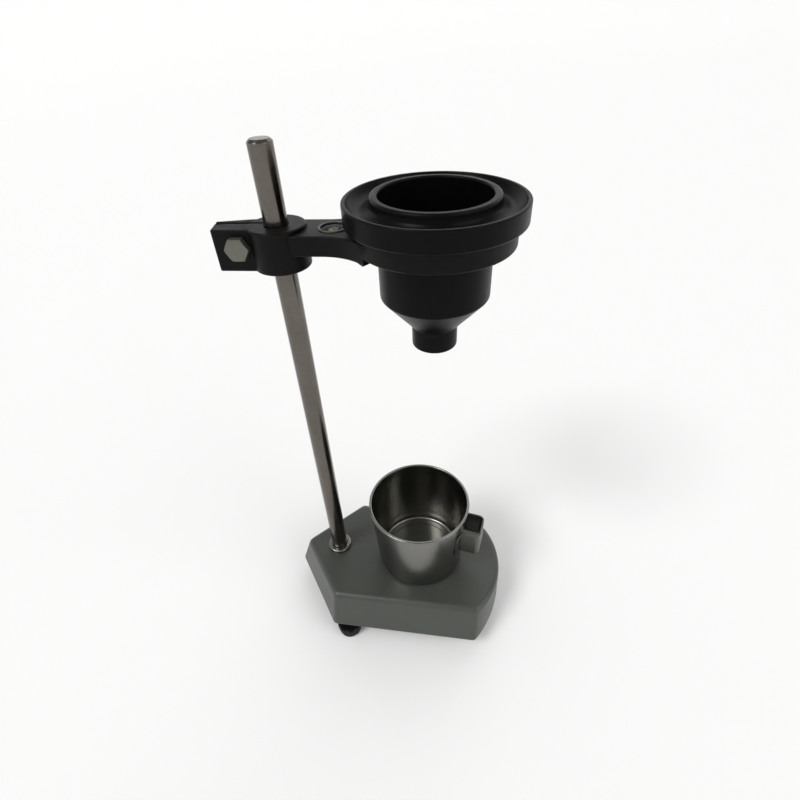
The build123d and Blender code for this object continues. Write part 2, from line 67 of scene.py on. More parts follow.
@dataclass(frozen=True)
class PhotoCamera:
    """The photograph's viewpoint, given from the foot of the rod on the base's top."""

    offset: tuple[float, float, float] = (0.10185, -0.20394, 0.3220)
    yaw: float = -13.365
    pitch: float = -39.194
    roll: float = -2.965
    lens: float = 21.762
    sensor: float = 36.0

    def place(self, foot: Vector) -> bpy.types.Object:
        """Makes the camera and puts it at the photograph's viewpoint.

        Args:
            foot: Point where the rod's axis meets the base's top.

        Returns:
            The camera object, made the scene's camera.
        """
        yaw, pitch, roll = (math.radians(v) for v in (self.yaw, self.pitch, self.roll))
        forward = Vector(
            (math.sin(yaw) * math.cos(pitch), math.cos(yaw) * math.cos(pitch), math.sin(pitch))
        )
        right = Vector((math.cos(yaw), -math.sin(yaw), 0.0))
        up = right.cross(forward)
        turned_right = right * math.cos(roll) + up * math.sin(roll)
        turned_up = up * math.cos(roll) - right * math.sin(roll)
        data = bpy.data.cameras.new("photo_camera")
        data.lens = self.lens
        data.sensor_width = self.sensor
        data.clip_start = 0.01
        data.clip_end = 20.0
        camera = bpy.data.objects.new("photo_camera", data)
        bpy.context.scene.collection.objects.link(camera)
        basis = Matrix((turned_right, turned_up, -forward)).transposed()
        camera.matrix_world = Matrix.Translation(foot + Vector(self.offset)) @ basis.to_4x4()
        bpy.context.scene.camera = camera
        return camera


def unit(vectors: np.ndarray) -> np.ndarray:
    """Scales each vector to length one, and leaves a vector of no length as it is."""
    length = np.linalg.norm(vectors, axis=-1, keepdims=True)
    return vectors / np.where(length < 1e-12, 1.0, length)


def round_corners(points: list, radii: list, steps: int = 7, guard: float = 0.1) -> np.ndarray:
    """Rounds the corners of an outline in the plane.

    Each arc touches its two sides at radius / tan(half the corner's angle), its centre
    lies on the bisector at radius / sin(half angle), and its points turn evenly from one
    touch point to the other. A guard point just outside each end keeps a flat side flat
    when it is shaded smooth. A corner of radius 0 stays as it is.

    Args:
        points: Corners in order. An open outline has radius 0 at both its ends.
        radii: Radius of each corner.
        steps: Points along each arc.
        guard: Distance of the guard points from the arc's ends.

    Returns:
        The rounded outline, as an array of points.
    """
    corner = np.asarray(points, float)
    radius = np.asarray(radii, float)
    back = unit(np.roll(corner, 1, axis=0) - corner)
    ahead = unit(np.roll(corner, -1, axis=0) - corner)
    half = np.arccos(np.clip((back * ahead).sum(axis=1), -1.0, 1.0)) / 2
    plain = (radius <= 0) | (half > math.pi / 2 - 1e-4)
    half = np.where(plain, math.pi / 4, half)
    radius = np.where(plain, 0.0, radius)
    reach = (radius / np.tan(half))[:, None]
    centre = corner + unit(back + ahead) * (radius / np.sin(half))[:, None]
    start = corner + back * reach - centre
    end = corner + ahead * reach - centre
    sweep = (math.pi - 2 * half)[:, None]
    along = np.linspace(0.0, 1.0, steps)[None, :]
    from_start = np.sin((1 - along) * sweep) / np.sin(sweep)
    from_end = np.sin(along * sweep) / np.sin(sweep)
    arcs = centre[:, None] + from_start[..., None] * start[:, None]
    arcs = arcs + from_end[..., None] * end[:, None]
    lead = (corner + back * (reach + guard))[:, None]
    trail = (corner + ahead * (reach + guard))[:, None]
    rows = np.concatenate([lead, arcs, trail], axis=1)
    keep = np.ones(rows.shape[:2], bool)
    keep[plain] = False
    keep[plain, 1] = True
    return rows[keep]


def inset(loop: np.ndarray, amount: np.ndarray | float) -> np.ndarray:
    """Moves a closed loop inwards along its normals.

    Each point's tangent runs from the point before it to the one after it, and the
    point moves across that tangent by the given amount.

    Args:
        loop: Points of a loop that runs anticlockwise, in the plane.
        amount: How far to move it.

    Returns:
        The moved loop.
    """
    tangent = unit(np.roll(loop, -1, axis=-2) - np.roll(loop, 1, axis=-2))
    normal = np.stack([tangent[..., 1], -tangent[..., 0]], axis=-1)
    return loop - normal * np.asarray(amount)[..., None]


@dataclass
class Patch:
    """A grid of points in millimetres: rows along a profile, columns round or across it."""

    points: np.ndarray
    wrap: bool = True
    loop: bool = False

    def quads(self, first: int) -> np.ndarray:
        """Gives the four point numbers of each face, counted from the given number."""
        rows, columns = self.points.shape[:2]
        row = np.arange(rows if self.loop else rows - 1)
        column = np.arange(columns if self.wrap else columns - 1)
        row, column = np.meshgrid(row, column, indexing="ij")
        next_row, next_column = (row + 1) % rows, (column + 1) % columns
        corners = [
            row * columns + column,
            row * columns + next_column,
            next_row * columns + next_column,
            next_row * columns + column,
        ]
        return first + np.stack(corners, axis=-1).reshape(-1, 4)


def turned(profile: np.ndarray, closed: bool = True, sides: int = 144) -> Patch:
    """Turns a profile about the upright axis.

    The point at radius r and level z stands at (r cos a, r sin a, z) for each angle a.

    Args:
        profile: Radius and level of each point.
        closed: Whether the profile's last point joins its first.
        sides: Steps round the axis.

    Returns:
        The turned surface.
    """
    angle = np.linspace(0.0, 2 * math.pi, sides, endpoint=False)[None, :]
    radius, level = profile[:, :1], profile[:, 1:]
    points = [radius * np.cos(angle), radius * np.sin(angle), level + 0 * angle]
    return Patch(np.stack(points, axis=-1), loop=closed)


def raised(loops: np.ndarray, levels: np.ndarray) -> np.ndarray:
    """Gives each plane loop its level, as points in space."""
    height = np.broadcast_to(np.asarray(levels, float), loops.shape[:-1])
    return np.concatenate([loops, height[..., None]], axis=-1)


def block(outline: np.ndarray, low: float, high: float, edge: float) -> Patch:
    """Upright solid of a plan outline with rounded lower and upper edges.

    The side's stations are inset and level along a rounded rectangle. Each row is the
    outline moved in by its station, and the first and last rows shrink to the middle.

    Args:
        outline: Plan points, anticlockwise.
        low: Lower level.
        high: Upper level.
        edge: Radius of the lower and upper edges.

    Returns:
        The closed surface.
    """
    inner = edge + 0.3
    corners = [(inner, low), (0.0, low), (0.0, high), (inner, high)]
    station = round_corners(corners, [0, edge, edge, 0], steps=5)
    loops = inset(np.repeat(outline[None], len(station), axis=0), station[:, :1])
    middle = np.broadcast_to(outline.mean(axis=0), outline.shape)
    loops = np.concatenate([middle[None], loops, middle[None]])
    levels = np.concatenate([[low], station[:, 1], [high]])
    return Patch(raised(loops, levels[:, None]))


def ring_of_angles(sides: int) -> np.ndarray:
    """Angles of evenly spaced points round an axis, from 0."""
    return np.linspace(0.0, 2 * math.pi, sides, endpoint=False)


def hexagon(flat: float, sides: int = 96) -> np.ndarray:
    """Hexagon with corners on the X axis: its radius is half the flats over a cosine."""
    angle = ring_of_angles(sides)
    radius = flat / 2 / np.cos(angle % (math.pi / 3) - math.pi / 6)
    return np.stack([radius * np.cos(angle), radius * np.sin(angle)], axis=-1)


def circle(radius: float, sides: int = 96) -> np.ndarray:
    """Plan circle of evenly spaced points."""
    angle = ring_of_angles(sides)
    return radius * np.stack([np.cos(angle), np.sin(angle)], axis=-1)


def cut_by_cone(flat: float, height: float) -> np.ndarray:
    """Level of a hexagon's edge under the cone that chamfers its corners at 30 degrees."""
    past = np.linalg.norm(hexagon(flat), axis=-1) - 0.97 * flat / 2
    return height - np.maximum(past, 0.0) * math.tan(math.radians(30))


def hexagon_head(flat: float, height: float) -> Patch:
    """Closed bolt head from level 0 to its height, with its corners cut by a cone."""
    loops = [
        circle(0.0),
        hexagon(flat) * 0.97,
        hexagon(flat),
        hexagon(flat),
        circle(0.485 * flat),
        circle(0.44 * flat),
        circle(0.0),
    ]
    levels = np.zeros((7, 96))
    levels[2] = 0.1
    levels[3] = cut_by_cone(flat, height)
    levels[4:] = height
    return Patch(raised(np.stack(loops), levels))


def hexagon_nut(flat: float, height: float, bore: float) -> Patch:
    """Closed nut from level 0 to its height, chamfered at both ends, with a round bore."""
    loops = [
        circle(bore),
        circle(bore + 0.4),
        circle(0.485 * flat),
        hexagon(flat),
        hexagon(flat),
        circle(0.485 * flat),
        circle(bore + 0.4),
        circle(bore),
    ]
    levels = np.zeros((8, 96))
    levels[0] = 0.4
    levels[3] = height - cut_by_cone(flat, height)
    levels[4] = cut_by_cone(flat, height)
    levels[5:7] = height
    levels[7] = height - 0.4
    return Patch(raised(np.stack(loops), levels), loop=True)


def threaded(radius: float, pitch: float, low: float, high: float, sides: int = 60) -> np.ndarray:
    """Points of a screw thread, without its ends.

    The radius at angle a and level z falls from the crest by a triangle wave of
    z / pitch - a / full turn, 0.6 of the pitch deep.

    Args:
        radius: Crest radius.
        pitch: Rise of each turn.
        low: Lower level.
        high: Upper level.
        sides: Steps round the axis.

    Returns:
        Rows of points from low to high.
    """
    level = np.linspace(low, high, max(2, round((high - low) / pitch * 6)))[:, None]
    angle = ring_of_angles(sides)[None, :]
    wave = np.abs(2 * ((level / pitch - angle / (2 * math.pi)) % 1.0) - 1)
    fade = np.clip(np.minimum(level - low, high - level) / pitch, 0.0, 1.0)
    distance = radius - 0.6 * pitch * wave * fade
    points = [distance * np.cos(angle), distance * np.sin(angle), level + 0 * angle]
    return np.stack(points, axis=-1)


def closed_ends(rows: np.ndarray) -> np.ndarray:
    """Adds a row at each end that shrinks to the middle of the end's row."""
    first = np.broadcast_to(rows[0].mean(axis=0), rows[0].shape)
    last = np.broadcast_to(rows[-1].mean(axis=0), rows[-1].shape)
    return np.concatenate([first[None], rows, last[None]])


def moved(patch: Patch, shift: tuple[float, float, float], turn: float = 0.0) -> Patch:
    """Turns a patch about the upright axis by an angle in degrees, and then moves it."""
    cosine, sine = math.cos(math.radians(turn)), math.sin(math.radians(turn))
    spin = np.array([[cosine, sine, 0.0], [-sine, cosine, 0.0], [0.0, 0.0, 1.0]])
    return Patch(patch.points @ spin + np.asarray(shift, float), patch.wrap, patch.loop)


def laid(patch: Patch, front: bool) -> Patch:
    """Lays a patch down so that its upright axis points to the front or to the back."""
    x, y, z = np.moveaxis(patch.points, -1, 0)
    points = np.stack([x, -z, y] if front else [x, z, -y], axis=-1)
    return Patch(points, patch.wrap, patch.loop)


def node_tree(name: str) -> tuple[bpy.types.Material, bpy.types.NodeTree, bpy.types.Node]:
    """Makes an empty node material with its Principled shader.

    Args:
        name: The material's name.

    Returns:
        The material, its node tree and its Principled node.
    """
    material = bpy.data.materials.new(name)
    material.use_nodes = True
    tree = material.node_tree
    return material, tree, tree.nodes["Principled BSDF"]


class EffectGroup:
    """A shader node group that several finishes share, built once and then placed."""

    def __init__(self, name: str) -> None:
        """Starts an empty group with the given name."""
        self.tree = bpy.data.node_groups.new(name, "ShaderNodeTree")
        self.entry = self.tree.nodes.new("NodeGroupInput")
        self.exit = self.tree.nodes.new("NodeGroupOutput")

    def add_input(self, name: str, kind: str, value: float | None = None) -> None:
        """Adds a named input with a default value."""
        socket = self.tree.interface.new_socket(name, in_out="INPUT", socket_type=kind)
        if value is not None:
            socket.default_value = value

    def add_output(self, name: str, kind: str) -> None:
        """Adds a named output."""
        self.tree.interface.new_socket(name, in_out="OUTPUT", socket_type=kind)

    def node(self, kind: str, **settings: object) -> bpy.types.Node:
        """Adds a node inside the group and sets its properties."""
        made = self.tree.nodes.new(kind)
        for key, value in settings.items():
            setattr(made, key, value)
        return made

    def link(self, source: bpy.types.NodeSocket, target: bpy.types.NodeSocket) -> None:
        """Joins two sockets inside the group."""
        self.tree.links.new(source, target)

    def place(self, tree: bpy.types.NodeTree, **values: float) -> bpy.types.Node:
        """Places the group in a material.

        Args:
            tree: The material's node tree.
            values: Input values, with spaces in names written as underscores.

        Returns:
            The placed group node.
        """
        placed = tree.nodes.new("ShaderNodeGroup")
        placed.node_tree = self.tree
        for key, value in values.items():
            placed.inputs[key.replace("_", " ")].default_value = value
        return placed


def ramp_value(group: EffectGroup, low: float, high: float) -> bpy.types.Node:
    """Adds a Map Range node that stretches low to high onto 0 to 1."""
    stretch = group.node("ShaderNodeMapRange")
    stretch.inputs["From Min"].default_value = low
    stretch.inputs["From Max"].default_value = high
    return stretch


def build_mottle() -> EffectGroup:
    """Cloudy variation: two noise sizes mixed, put out as a factor from 0 to 1."""
    group = EffectGroup("mottle")
    group.add_input("Coarse Scale", "NodeSocketFloat", 30.0)
    group.add_input("Fine Scale", "NodeSocketFloat", 400.0)
    group.add_output("Factor", "NodeSocketFloat")
    where = group.node("ShaderNodeTexCoord")
    coarse = group.node("ShaderNodeTexNoise")
    coarse.inputs["Detail"].default_value = 4.0
    fine = group.node("ShaderNodeTexNoise")
    fine.inputs["Detail"].default_value = 3.0
    for noise, name in ((coarse, "Coarse Scale"), (fine, "Fine Scale")):
        group.link(where.outputs["Object"], noise.inputs["Vector"])
        group.link(group.entry.outputs[name], noise.inputs["Scale"])
    mix = group.node("ShaderNodeMix", data_type="FLOAT")
    mix.inputs["Factor"].default_value = 0.4
    group.link(coarse.outputs["Fac"], mix.inputs["A"])
    group.link(fine.outputs["Fac"], mix.inputs["B"])
    stretch = ramp_value(group, 0.35, 0.65)
    group.link(mix.outputs["Result"], stretch.inputs["Value"])
    group.link(stretch.outputs["Result"], group.exit.inputs["Factor"])
    return group


def build_grain() -> EffectGroup:
    """Surface grain: a fine noise bump whose strength and scale are inputs."""
    group = EffectGroup("grain")
    group.add_input("Scale", "NodeSocketFloat", 1500.0)
    group.add_input("Strength", "NodeSocketFloat", 0.1)
    group.add_input("Height", "NodeSocketFloat", 0.0001)
    group.add_input("Stretch", "NodeSocketVector")
    group.add_output("Normal", "NodeSocketVector")
    group.add_output("Grain", "NodeSocketFloat")
    where = group.node("ShaderNodeTexCoord")
    squeeze = group.node("ShaderNodeVectorMath", operation="MULTIPLY")
    group.link(where.outputs["Object"], squeeze.inputs[0])
    group.link(group.entry.outputs["Stretch"], squeeze.inputs[1])
    noise = group.node("ShaderNodeTexNoise")
    noise.inputs["Detail"].default_value = 5.0
    group.link(squeeze.outputs["Vector"], noise.inputs["Vector"])
    group.link(group.entry.outputs["Scale"], noise.inputs["Scale"])
    bump = group.node("ShaderNodeBump")
    group.link(noise.outputs["Fac"], bump.inputs["Height"])
    group.link(group.entry.outputs["Strength"], bump.inputs["Strength"])
    group.link(group.entry.outputs["Height"], bump.inputs["Distance"])
    group.link(bump.outputs["Normal"], group.exit.inputs["Normal"])
    group.link(noise.outputs["Fac"], group.exit.inputs["Grain"])
    return group


def build_edge_wear() -> EffectGroup:
    """Worn edges: where a rounded normal differs from the true one, broken up by noise."""
    group = EffectGroup("edge_wear")
    group.add_input("Radius", "NodeSocketFloat", 0.0006)
    group.add_input("Amount", "NodeSocketFloat", 0.5)
    group.add_output("Mask", "NodeSocketFloat")
    bevel = group.node("ShaderNodeBevel", samples=4)
    group.link(group.entry.outputs["Radius"], bevel.inputs["Radius"])
    facing = group.node("ShaderNodeNewGeometry")
    dot = group.node("ShaderNodeVectorMath", operation="DOT_PRODUCT")
    group.link(bevel.outputs["Normal"], dot.inputs[0])
    group.link(facing.outputs["Normal"], dot.inputs[1])
    edge = group.node("ShaderNodeMapRange")
    edge.inputs["From Min"].default_value = 0.995
    edge.inputs["From Max"].default_value = 0.86
    group.link(dot.outputs["Value"], edge.inputs["Value"])
    where = group.node("ShaderNodeTexCoord")
    noise = group.node("ShaderNodeTexNoise")
    noise.inputs["Scale"].default_value = 260.0
    noise.inputs["Detail"].default_value = 4.0
    group.link(where.outputs["Object"], noise.inputs["Vector"])
    broken = group.node("ShaderNodeMath", operation="MULTIPLY")
    group.link(edge.outputs["Result"], broken.inputs[0])
    group.link(noise.outputs["Fac"], broken.inputs[1])
    scaled = group.node("ShaderNodeMath", operation="MULTIPLY", use_clamp=True)
    group.link(broken.outputs["Value"], scaled.inputs[0])
    group.link(group.entry.outputs["Amount"], scaled.inputs[1])
    group.link(scaled.outputs["Value"], group.exit.inputs["Mask"])
    return group


@dataclass
class EffectSet:
    """The node groups that the finishes share."""

    mottle: EffectGroup = field(default_factory=build_mottle)
    grain: EffectGroup = field(default_factory=build_grain)
    edge_wear: EffectGroup = field(default_factory=build_edge_wear)


@dataclass(frozen=True)
class OpaqueFinish:
    """A metal, paint, plastic or rubber finish.

    Colours are linear. The mottle mixes the two colours and the two roughnesses, the
    grain bumps the surface, and worn edges turn to the edge colour.
    """

    name: str
    colour: tuple[float, float, float]
    second: tuple[float, float, float]
    edge: tuple[float, float, float]
    rough_low: float
    rough_high: float
    metallic: float = 0.0
    coat: float = 0.0
    coat_roughness: float = 0.2
    coarse: float = 30.0
    fine: float = 400.0
    grain_scale: float = 1500.0
    grain_strength: float = 0.1
    grain_height: float = 0.0001
    grain_stretch: tuple[float, float, float] = (1.0, 1.0, 1.0)
    wear: float = 0.0
    wear_radius: float = 0.0006
    specular: float = 0.5

    def make(self, effects: EffectSet) -> bpy.types.Material:
        """Builds the material.

        Args:
            effects: The shared node groups.

        Returns:
            The finished material.
        """
        material, tree, shader = node_tree(self.name)
        links = tree.links
        mottle = effects.mottle.place(tree, Coarse_Scale=self.coarse, Fine_Scale=self.fine)
        grain = effects.grain.place(
            tree, Scale=self.grain_scale, Strength=self.grain_strength, Height=self.grain_height
        )
        grain.inputs["Stretch"].default_value = self.grain_stretch
        colour = tree.nodes.new("ShaderNodeMix")
        colour.data_type = "RGBA"
        colour.inputs["A"].default_value = (*self.colour, 1.0)
        colour.inputs["B"].default_value = (*self.second, 1.0)
        links.new(mottle.outputs["Factor"], colour.inputs["Factor"])
        worn = tree.nodes.new("ShaderNodeMix")
        worn.data_type = "RGBA"
        worn.inputs["B"].default_value = (*self.edge, 1.0)
        wear = effects.edge_wear.place(tree, Radius=self.wear_radius, Amount=self.wear)
        links.new(wear.outputs["Mask"], worn.inputs["Factor"])
        links.new(colour.outputs["Result"], worn.inputs["A"])
        links.new(worn.outputs["Result"], shader.inputs["Base Color"])
        rough = tree.nodes.new("ShaderNodeMapRange")
        rough.inputs["To Min"].default_value = self.rough_low
        rough.inputs["To Max"].default_value = self.rough_high
        links.new(mottle.outputs["Factor"], rough.inputs["Value"])
        links.new(rough.outputs["Result"], shader.inputs["Roughness"])
        links.new(grain.outputs["Normal"], shader.inputs["Normal"])
        shader.inputs["Metallic"].default_value = self.metallic
        shader.inputs["Specular IOR Level"].default_value = self.specular
        shader.inputs["Coat Weight"].default_value = self.coat
        shader.inputs["Coat Roughness"].default_value = self.coat_roughness
        return material


@dataclass(frozen=True)
class ClearFinish:
    """Glass or liquid: plain transmission with a faint mottled colour."""

    name: str
    colour: tuple[float, float, float]
    second: tuple[float, float, float]
    roughness: float
    index: float = 1.45
    transmission: float = 1.0

    def make(self, effects: EffectSet) -> bpy.types.Material:
        """Builds the material.

        Args:
            effects: The shared node groups.

        Returns:
            The finished material.
        """
        material, tree, shader = node_tree(self.name)
        mottle = effects.mottle.place(tree, Coarse_Scale=120.0, Fine_Scale=900.0)
        colour = tree.nodes.new("ShaderNodeMix")
        colour.data_type = "RGBA"
        colour.inputs["A"].default_value = (*self.colour, 1.0)
        colour.inputs["B"].default_value = (*self.second, 1.0)
        tree.links.new(mottle.outputs["Factor"], colour.inputs["Factor"])
        tree.links.new(colour.outputs["Result"], shader.inputs["Base Color"])
        shader.inputs["Roughness"].default_value = self.roughness
        shader.inputs["IOR"].default_value = self.index
        shader.inputs["Transmission Weight"].default_value = self.transmission
        return material


CASTING_PAINT = OpaqueFinish(
    name="casting_paint",
    colour=(0.043, 0.0475, 0.040),
    second=(0.051, 0.055, 0.047),
    edge=(0.12, 0.125, 0.112),
    rough_low=0.34,
    rough_high=0.46,
    coat=0.15,
    coat_roughness=0.35,
    grain_scale=900.0,
    grain_strength=0.25,
    wear=0.5,
)
BLACK_MOULDING = OpaqueFinish(
    name="black_moulding",
    colour=(0.0022, 0.0024, 0.0023),
    second=(0.0032, 0.0034, 0.0032),
    edge=(0.02, 0.02, 0.019),
    rough_low=0.34,
    rough_high=0.44,
    grain_scale=2200.0,
    grain_strength=0.12,
    wear=0.4,
    specular=0.11,
)
CUP_COATING = OpaqueFinish(
    name="cup_coating",
    colour=(0.0018, 0.0020, 0.0020),
    second=(0.0028, 0.0030, 0.0029),
    edge=(0.035, 0.035, 0.034),
    rough_low=0.30,
    rough_high=0.38,
    grain_scale=2400.0,
    grain_strength=0.08,
    wear=0.3,
    specular=0.08,
)
KNOB_MOULDING = OpaqueFinish(
    name="knob_moulding",
    colour=(0.0035, 0.0036, 0.0036),
    second=(0.0048, 0.0049, 0.0049),
    edge=(0.03, 0.03, 0.03),
    rough_low=0.45,
    rough_high=0.55,
    grain_scale=2200.0,
    grain_strength=0.12,
    wear=0.2,
    specular=0.1,
)
ROD_STEEL = OpaqueFinish(
    name="rod_steel",
    colour=(0.118, 0.106, 0.092),
    second=(0.15, 0.136, 0.12),
    edge=(0.75, 0.74, 0.72),
    rough_low=0.16,
    rough_high=0.24,
    metallic=1.0,
    grain_scale=900.0,
    grain_strength=0.015,
    grain_stretch=(1.0, 1.0, 0.05),
)
TURNED_STEEL = OpaqueFinish(
    name="turned_steel",
    colour=(0.20, 0.195, 0.18),
    second=(0.26, 0.255, 0.24),
    edge=(0.75, 0.74, 0.72),
    rough_low=0.2,
    rough_high=0.3,
    metallic=1.0,
    grain_scale=1400.0,
    grain_strength=0.04,
)
BAND_STEEL = OpaqueFinish(
    name="band_steel",
    colour=(0.095, 0.094, 0.086),
    second=(0.12, 0.118, 0.109),
    edge=(0.7, 0.7, 0.66),
    rough_low=0.28,
    rough_high=0.38,
    metallic=1.0,
    grain_scale=900.0,
    grain_strength=0.02,
)
SHEET_STEEL = OpaqueFinish(
    name="sheet_steel",
    colour=(0.20, 0.20, 0.185),
    second=(0.25, 0.245, 0.225),
    edge=(0.45, 0.45, 0.43),
    rough_low=0.2,
    rough_high=0.27,
    metallic=1.0,
    grain_scale=700.0,
    grain_strength=0.015,
    grain_stretch=(1.0, 1.0, 1.0),
    coarse=18.0,
)
BRIGHT_ZINC = OpaqueFinish(
    name="bright_zinc",
    colour=(0.125, 0.125, 0.102),
    second=(0.15, 0.15, 0.128),
    edge=(0.3, 0.3, 0.27),
    rough_low=0.32,
    rough_high=0.42,
    metallic=0.7,
    grain_scale=1800.0,
    grain_strength=0.06,
)
ZINC_PLATE = OpaqueFinish(
    name="zinc_plate",
    colour=(0.70, 0.70, 0.66),
    second=(0.78, 0.77, 0.72),
    edge=(0.85, 0.85, 0.82),
    rough_low=0.26,
    rough_high=0.36,
    metallic=1.0,
    grain_scale=1800.0,
    grain_strength=0.08,
)
FOOT_RUBBER = OpaqueFinish(
    name="foot_rubber",
    colour=(0.012, 0.012, 0.012),
    second=(0.02, 0.02, 0.02),
    edge=(0.04, 0.04, 0.04),
    rough_low=0.6,
    rough_high=0.75,
    grain_scale=1600.0,
    grain_strength=0.2,
    specular=0.25,
)
LEVEL_POT = OpaqueFinish(
    name="level_pot",
    colour=(0.03, 0.032, 0.028),
    second=(0.045, 0.047, 0.04),
    edge=(0.12, 0.12, 0.1),
    rough_low=0.3,
    rough_high=0.4,
    wear=0.4,
)
LEVEL_LIQUID = OpaqueFinish(
    name="level_liquid",
    colour=(0.050, 0.058, 0.030),
    second=(0.062, 0.070, 0.040),
    edge=(0.6, 0.65, 0.4),
    rough_low=0.08,
    rough_high=0.12,
    coat=0.6,
    coat_roughness=0.05,
    grain_strength=0.0,
)
LEVEL_GLASS = ClearFinish(
    name="level_glass",
    colour=(0.80, 0.84, 0.66),
    second=(0.84, 0.87, 0.72),
    roughness=0.05,
    index=1.1,
)

NODE_FINISHES: dict[str, OpaqueFinish | ClearFinish] = {
    "base_casting": CASTING_PAINT,
    "rod_collar": ROD_STEEL,
    "fixed_foot": FOOT_RUBBER,
    "fixed_foot_screw": ZINC_PLATE,
    "stand_rod": ROD_STEEL,
    "rod_washer": ZINC_PLATE,
    "rod_nut": ZINC_PLATE,
    "support_arm": BLACK_MOULDING,
    "clamp_nut": ZINC_PLATE,
    "clamp_bolt": ZINC_PLATE,
    "level_housing": LEVEL_POT,
    "level_fluid": LEVEL_LIQUID,
    "level_window": LEVEL_GLASS,
    "flow_cup_body": CUP_COATING,
    "flow_nozzle": ROD_STEEL,
    "receiving_cup_shell": SHEET_STEEL,
    "receiving_cup_handle": SHEET_STEEL,
    "foot_pad_front": FOOT_RUBBER,
    "foot_pad_rear": FOOT_RUBBER,
    "foot_knob_front": BLACK_MOULDING,
    "foot_knob_rear": BLACK_MOULDING,
    "foot_stud_front": ZINC_PLATE,
    "foot_stud_rear": ZINC_PLATE,
}


class FinishShop:
    """Makes each finish once and puts it on the pieces that wear it."""

    def __init__(self) -> None:
        """Builds the shared effects and an empty store of made materials."""
        self.effects = EffectSet()
        self.made: dict[str, bpy.types.Material] = {}

    def material(self, finish: OpaqueFinish | ClearFinish) -> bpy.types.Material:
        """Gives the finish's material, made on its first use."""
        if finish.name not in self.made:
            self.made[finish.name] = finish.make(self.effects)
        return self.made[finish.name]

    def dress(self, piece: bpy.types.Object, finish: OpaqueFinish | ClearFinish) -> None:
        """Puts a finish on every material slot of a piece."""
        material = self.material(finish)
        if not piece.material_slots:
            piece.data.materials.append(material)
        for slot in piece.material_slots:
            slot.material = material


@dataclass(frozen=True)
class Place:
    """Where the rod's axis stands, and the levels that the pieces start from, in mm."""

    rod_x: float
    rod_y: float
    underside: float
    base_top: float
    rod_top: float
    lip_top: float
    arm_turn: float = 5.5
    arm_reach: float = 72.0

    @property
    def ring_top(self) -> float:
        """Level of the arm's ring, under the flow cup's flange."""
        return self.lip_top - 9.6

    def at_rod(self, patch: Patch, level: float = 0.0) -> Patch:
        """Puts a patch drawn round the rod's axis in its place."""
        return moved(patch, (self.rod_x, self.rod_y, level))

    def on_arm(self, patch: Patch, x: float = 0.0, y: float = 0.0, level: float = 0.0) -> Patch:
        """Puts a patch at a point given along the arm and across it."""
        local = Patch(patch.points + np.array([x, y, level]), patch.wrap, patch.loop)
        return moved(local, (self.rod_x, self.rod_y, 0.0), self.arm_turn)


class Workshop:
    """Turns patches into finished pieces: mesh, body and finish."""

    def __init__(self, finishes: FinishShop) -> None:
        """Keeps the store of finishes."""
        self.finishes = finishes

    def piece(
        self,
        name: str,
        patches: list[Patch],
        body: str,
        slot: str,
        finish: OpaqueFinish | ClearFinish,
        *nodes: str,
    ) -> bpy.types.Object:
        """Makes one piece.

        The patches' points are joined where they meet, which closes seams and poles, and
        each closed surface is turned to face outwards.

        Args:
            name: The piece's name.
            patches: Its surfaces, in millimetres in the model's frame.
            body: The body that it rides on.
            slot: The record's material slot; not used.
            finish: What it is finished with.
            nodes: The CAD nodes that it stands for.

        Returns:
            The piece.
        """
        count, faces, points = 0, [], []
        for patch in patches:
            faces.append(patch.quads(count))
            points.append(patch.points.reshape(-1, 3))
            count += len(points[-1])
        mesh = bpy.data.meshes.new(name)
        mesh.from_pydata(
            (np.concatenate(points) * MM).tolist(), [], np.concatenate(faces).tolist()
        )
        work = bmesh.new()
        work.from_mesh(mesh)
        bmesh.ops.remove_doubles(work, verts=work.verts, dist=2e-6)
        bmesh.ops.dissolve_degenerate(work, edges=work.edges, dist=1e-7)
        bmesh.ops.recalc_face_normals(work, faces=work.faces)
        work.to_mesh(mesh)
        work.free()
        mesh.shade_smooth()
        mesh.set_sharp_from_angle(angle=math.radians(32))
        made = bpy.data.objects.new(name, mesh)
        bpy.context.scene.collection.objects.link(made)
        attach(made, body)
        if nodes:
            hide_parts(*nodes)
        self.finishes.dress(made, finish)
        LOG.info("made %s with %d faces", name, len(mesh.polygons))
        return made


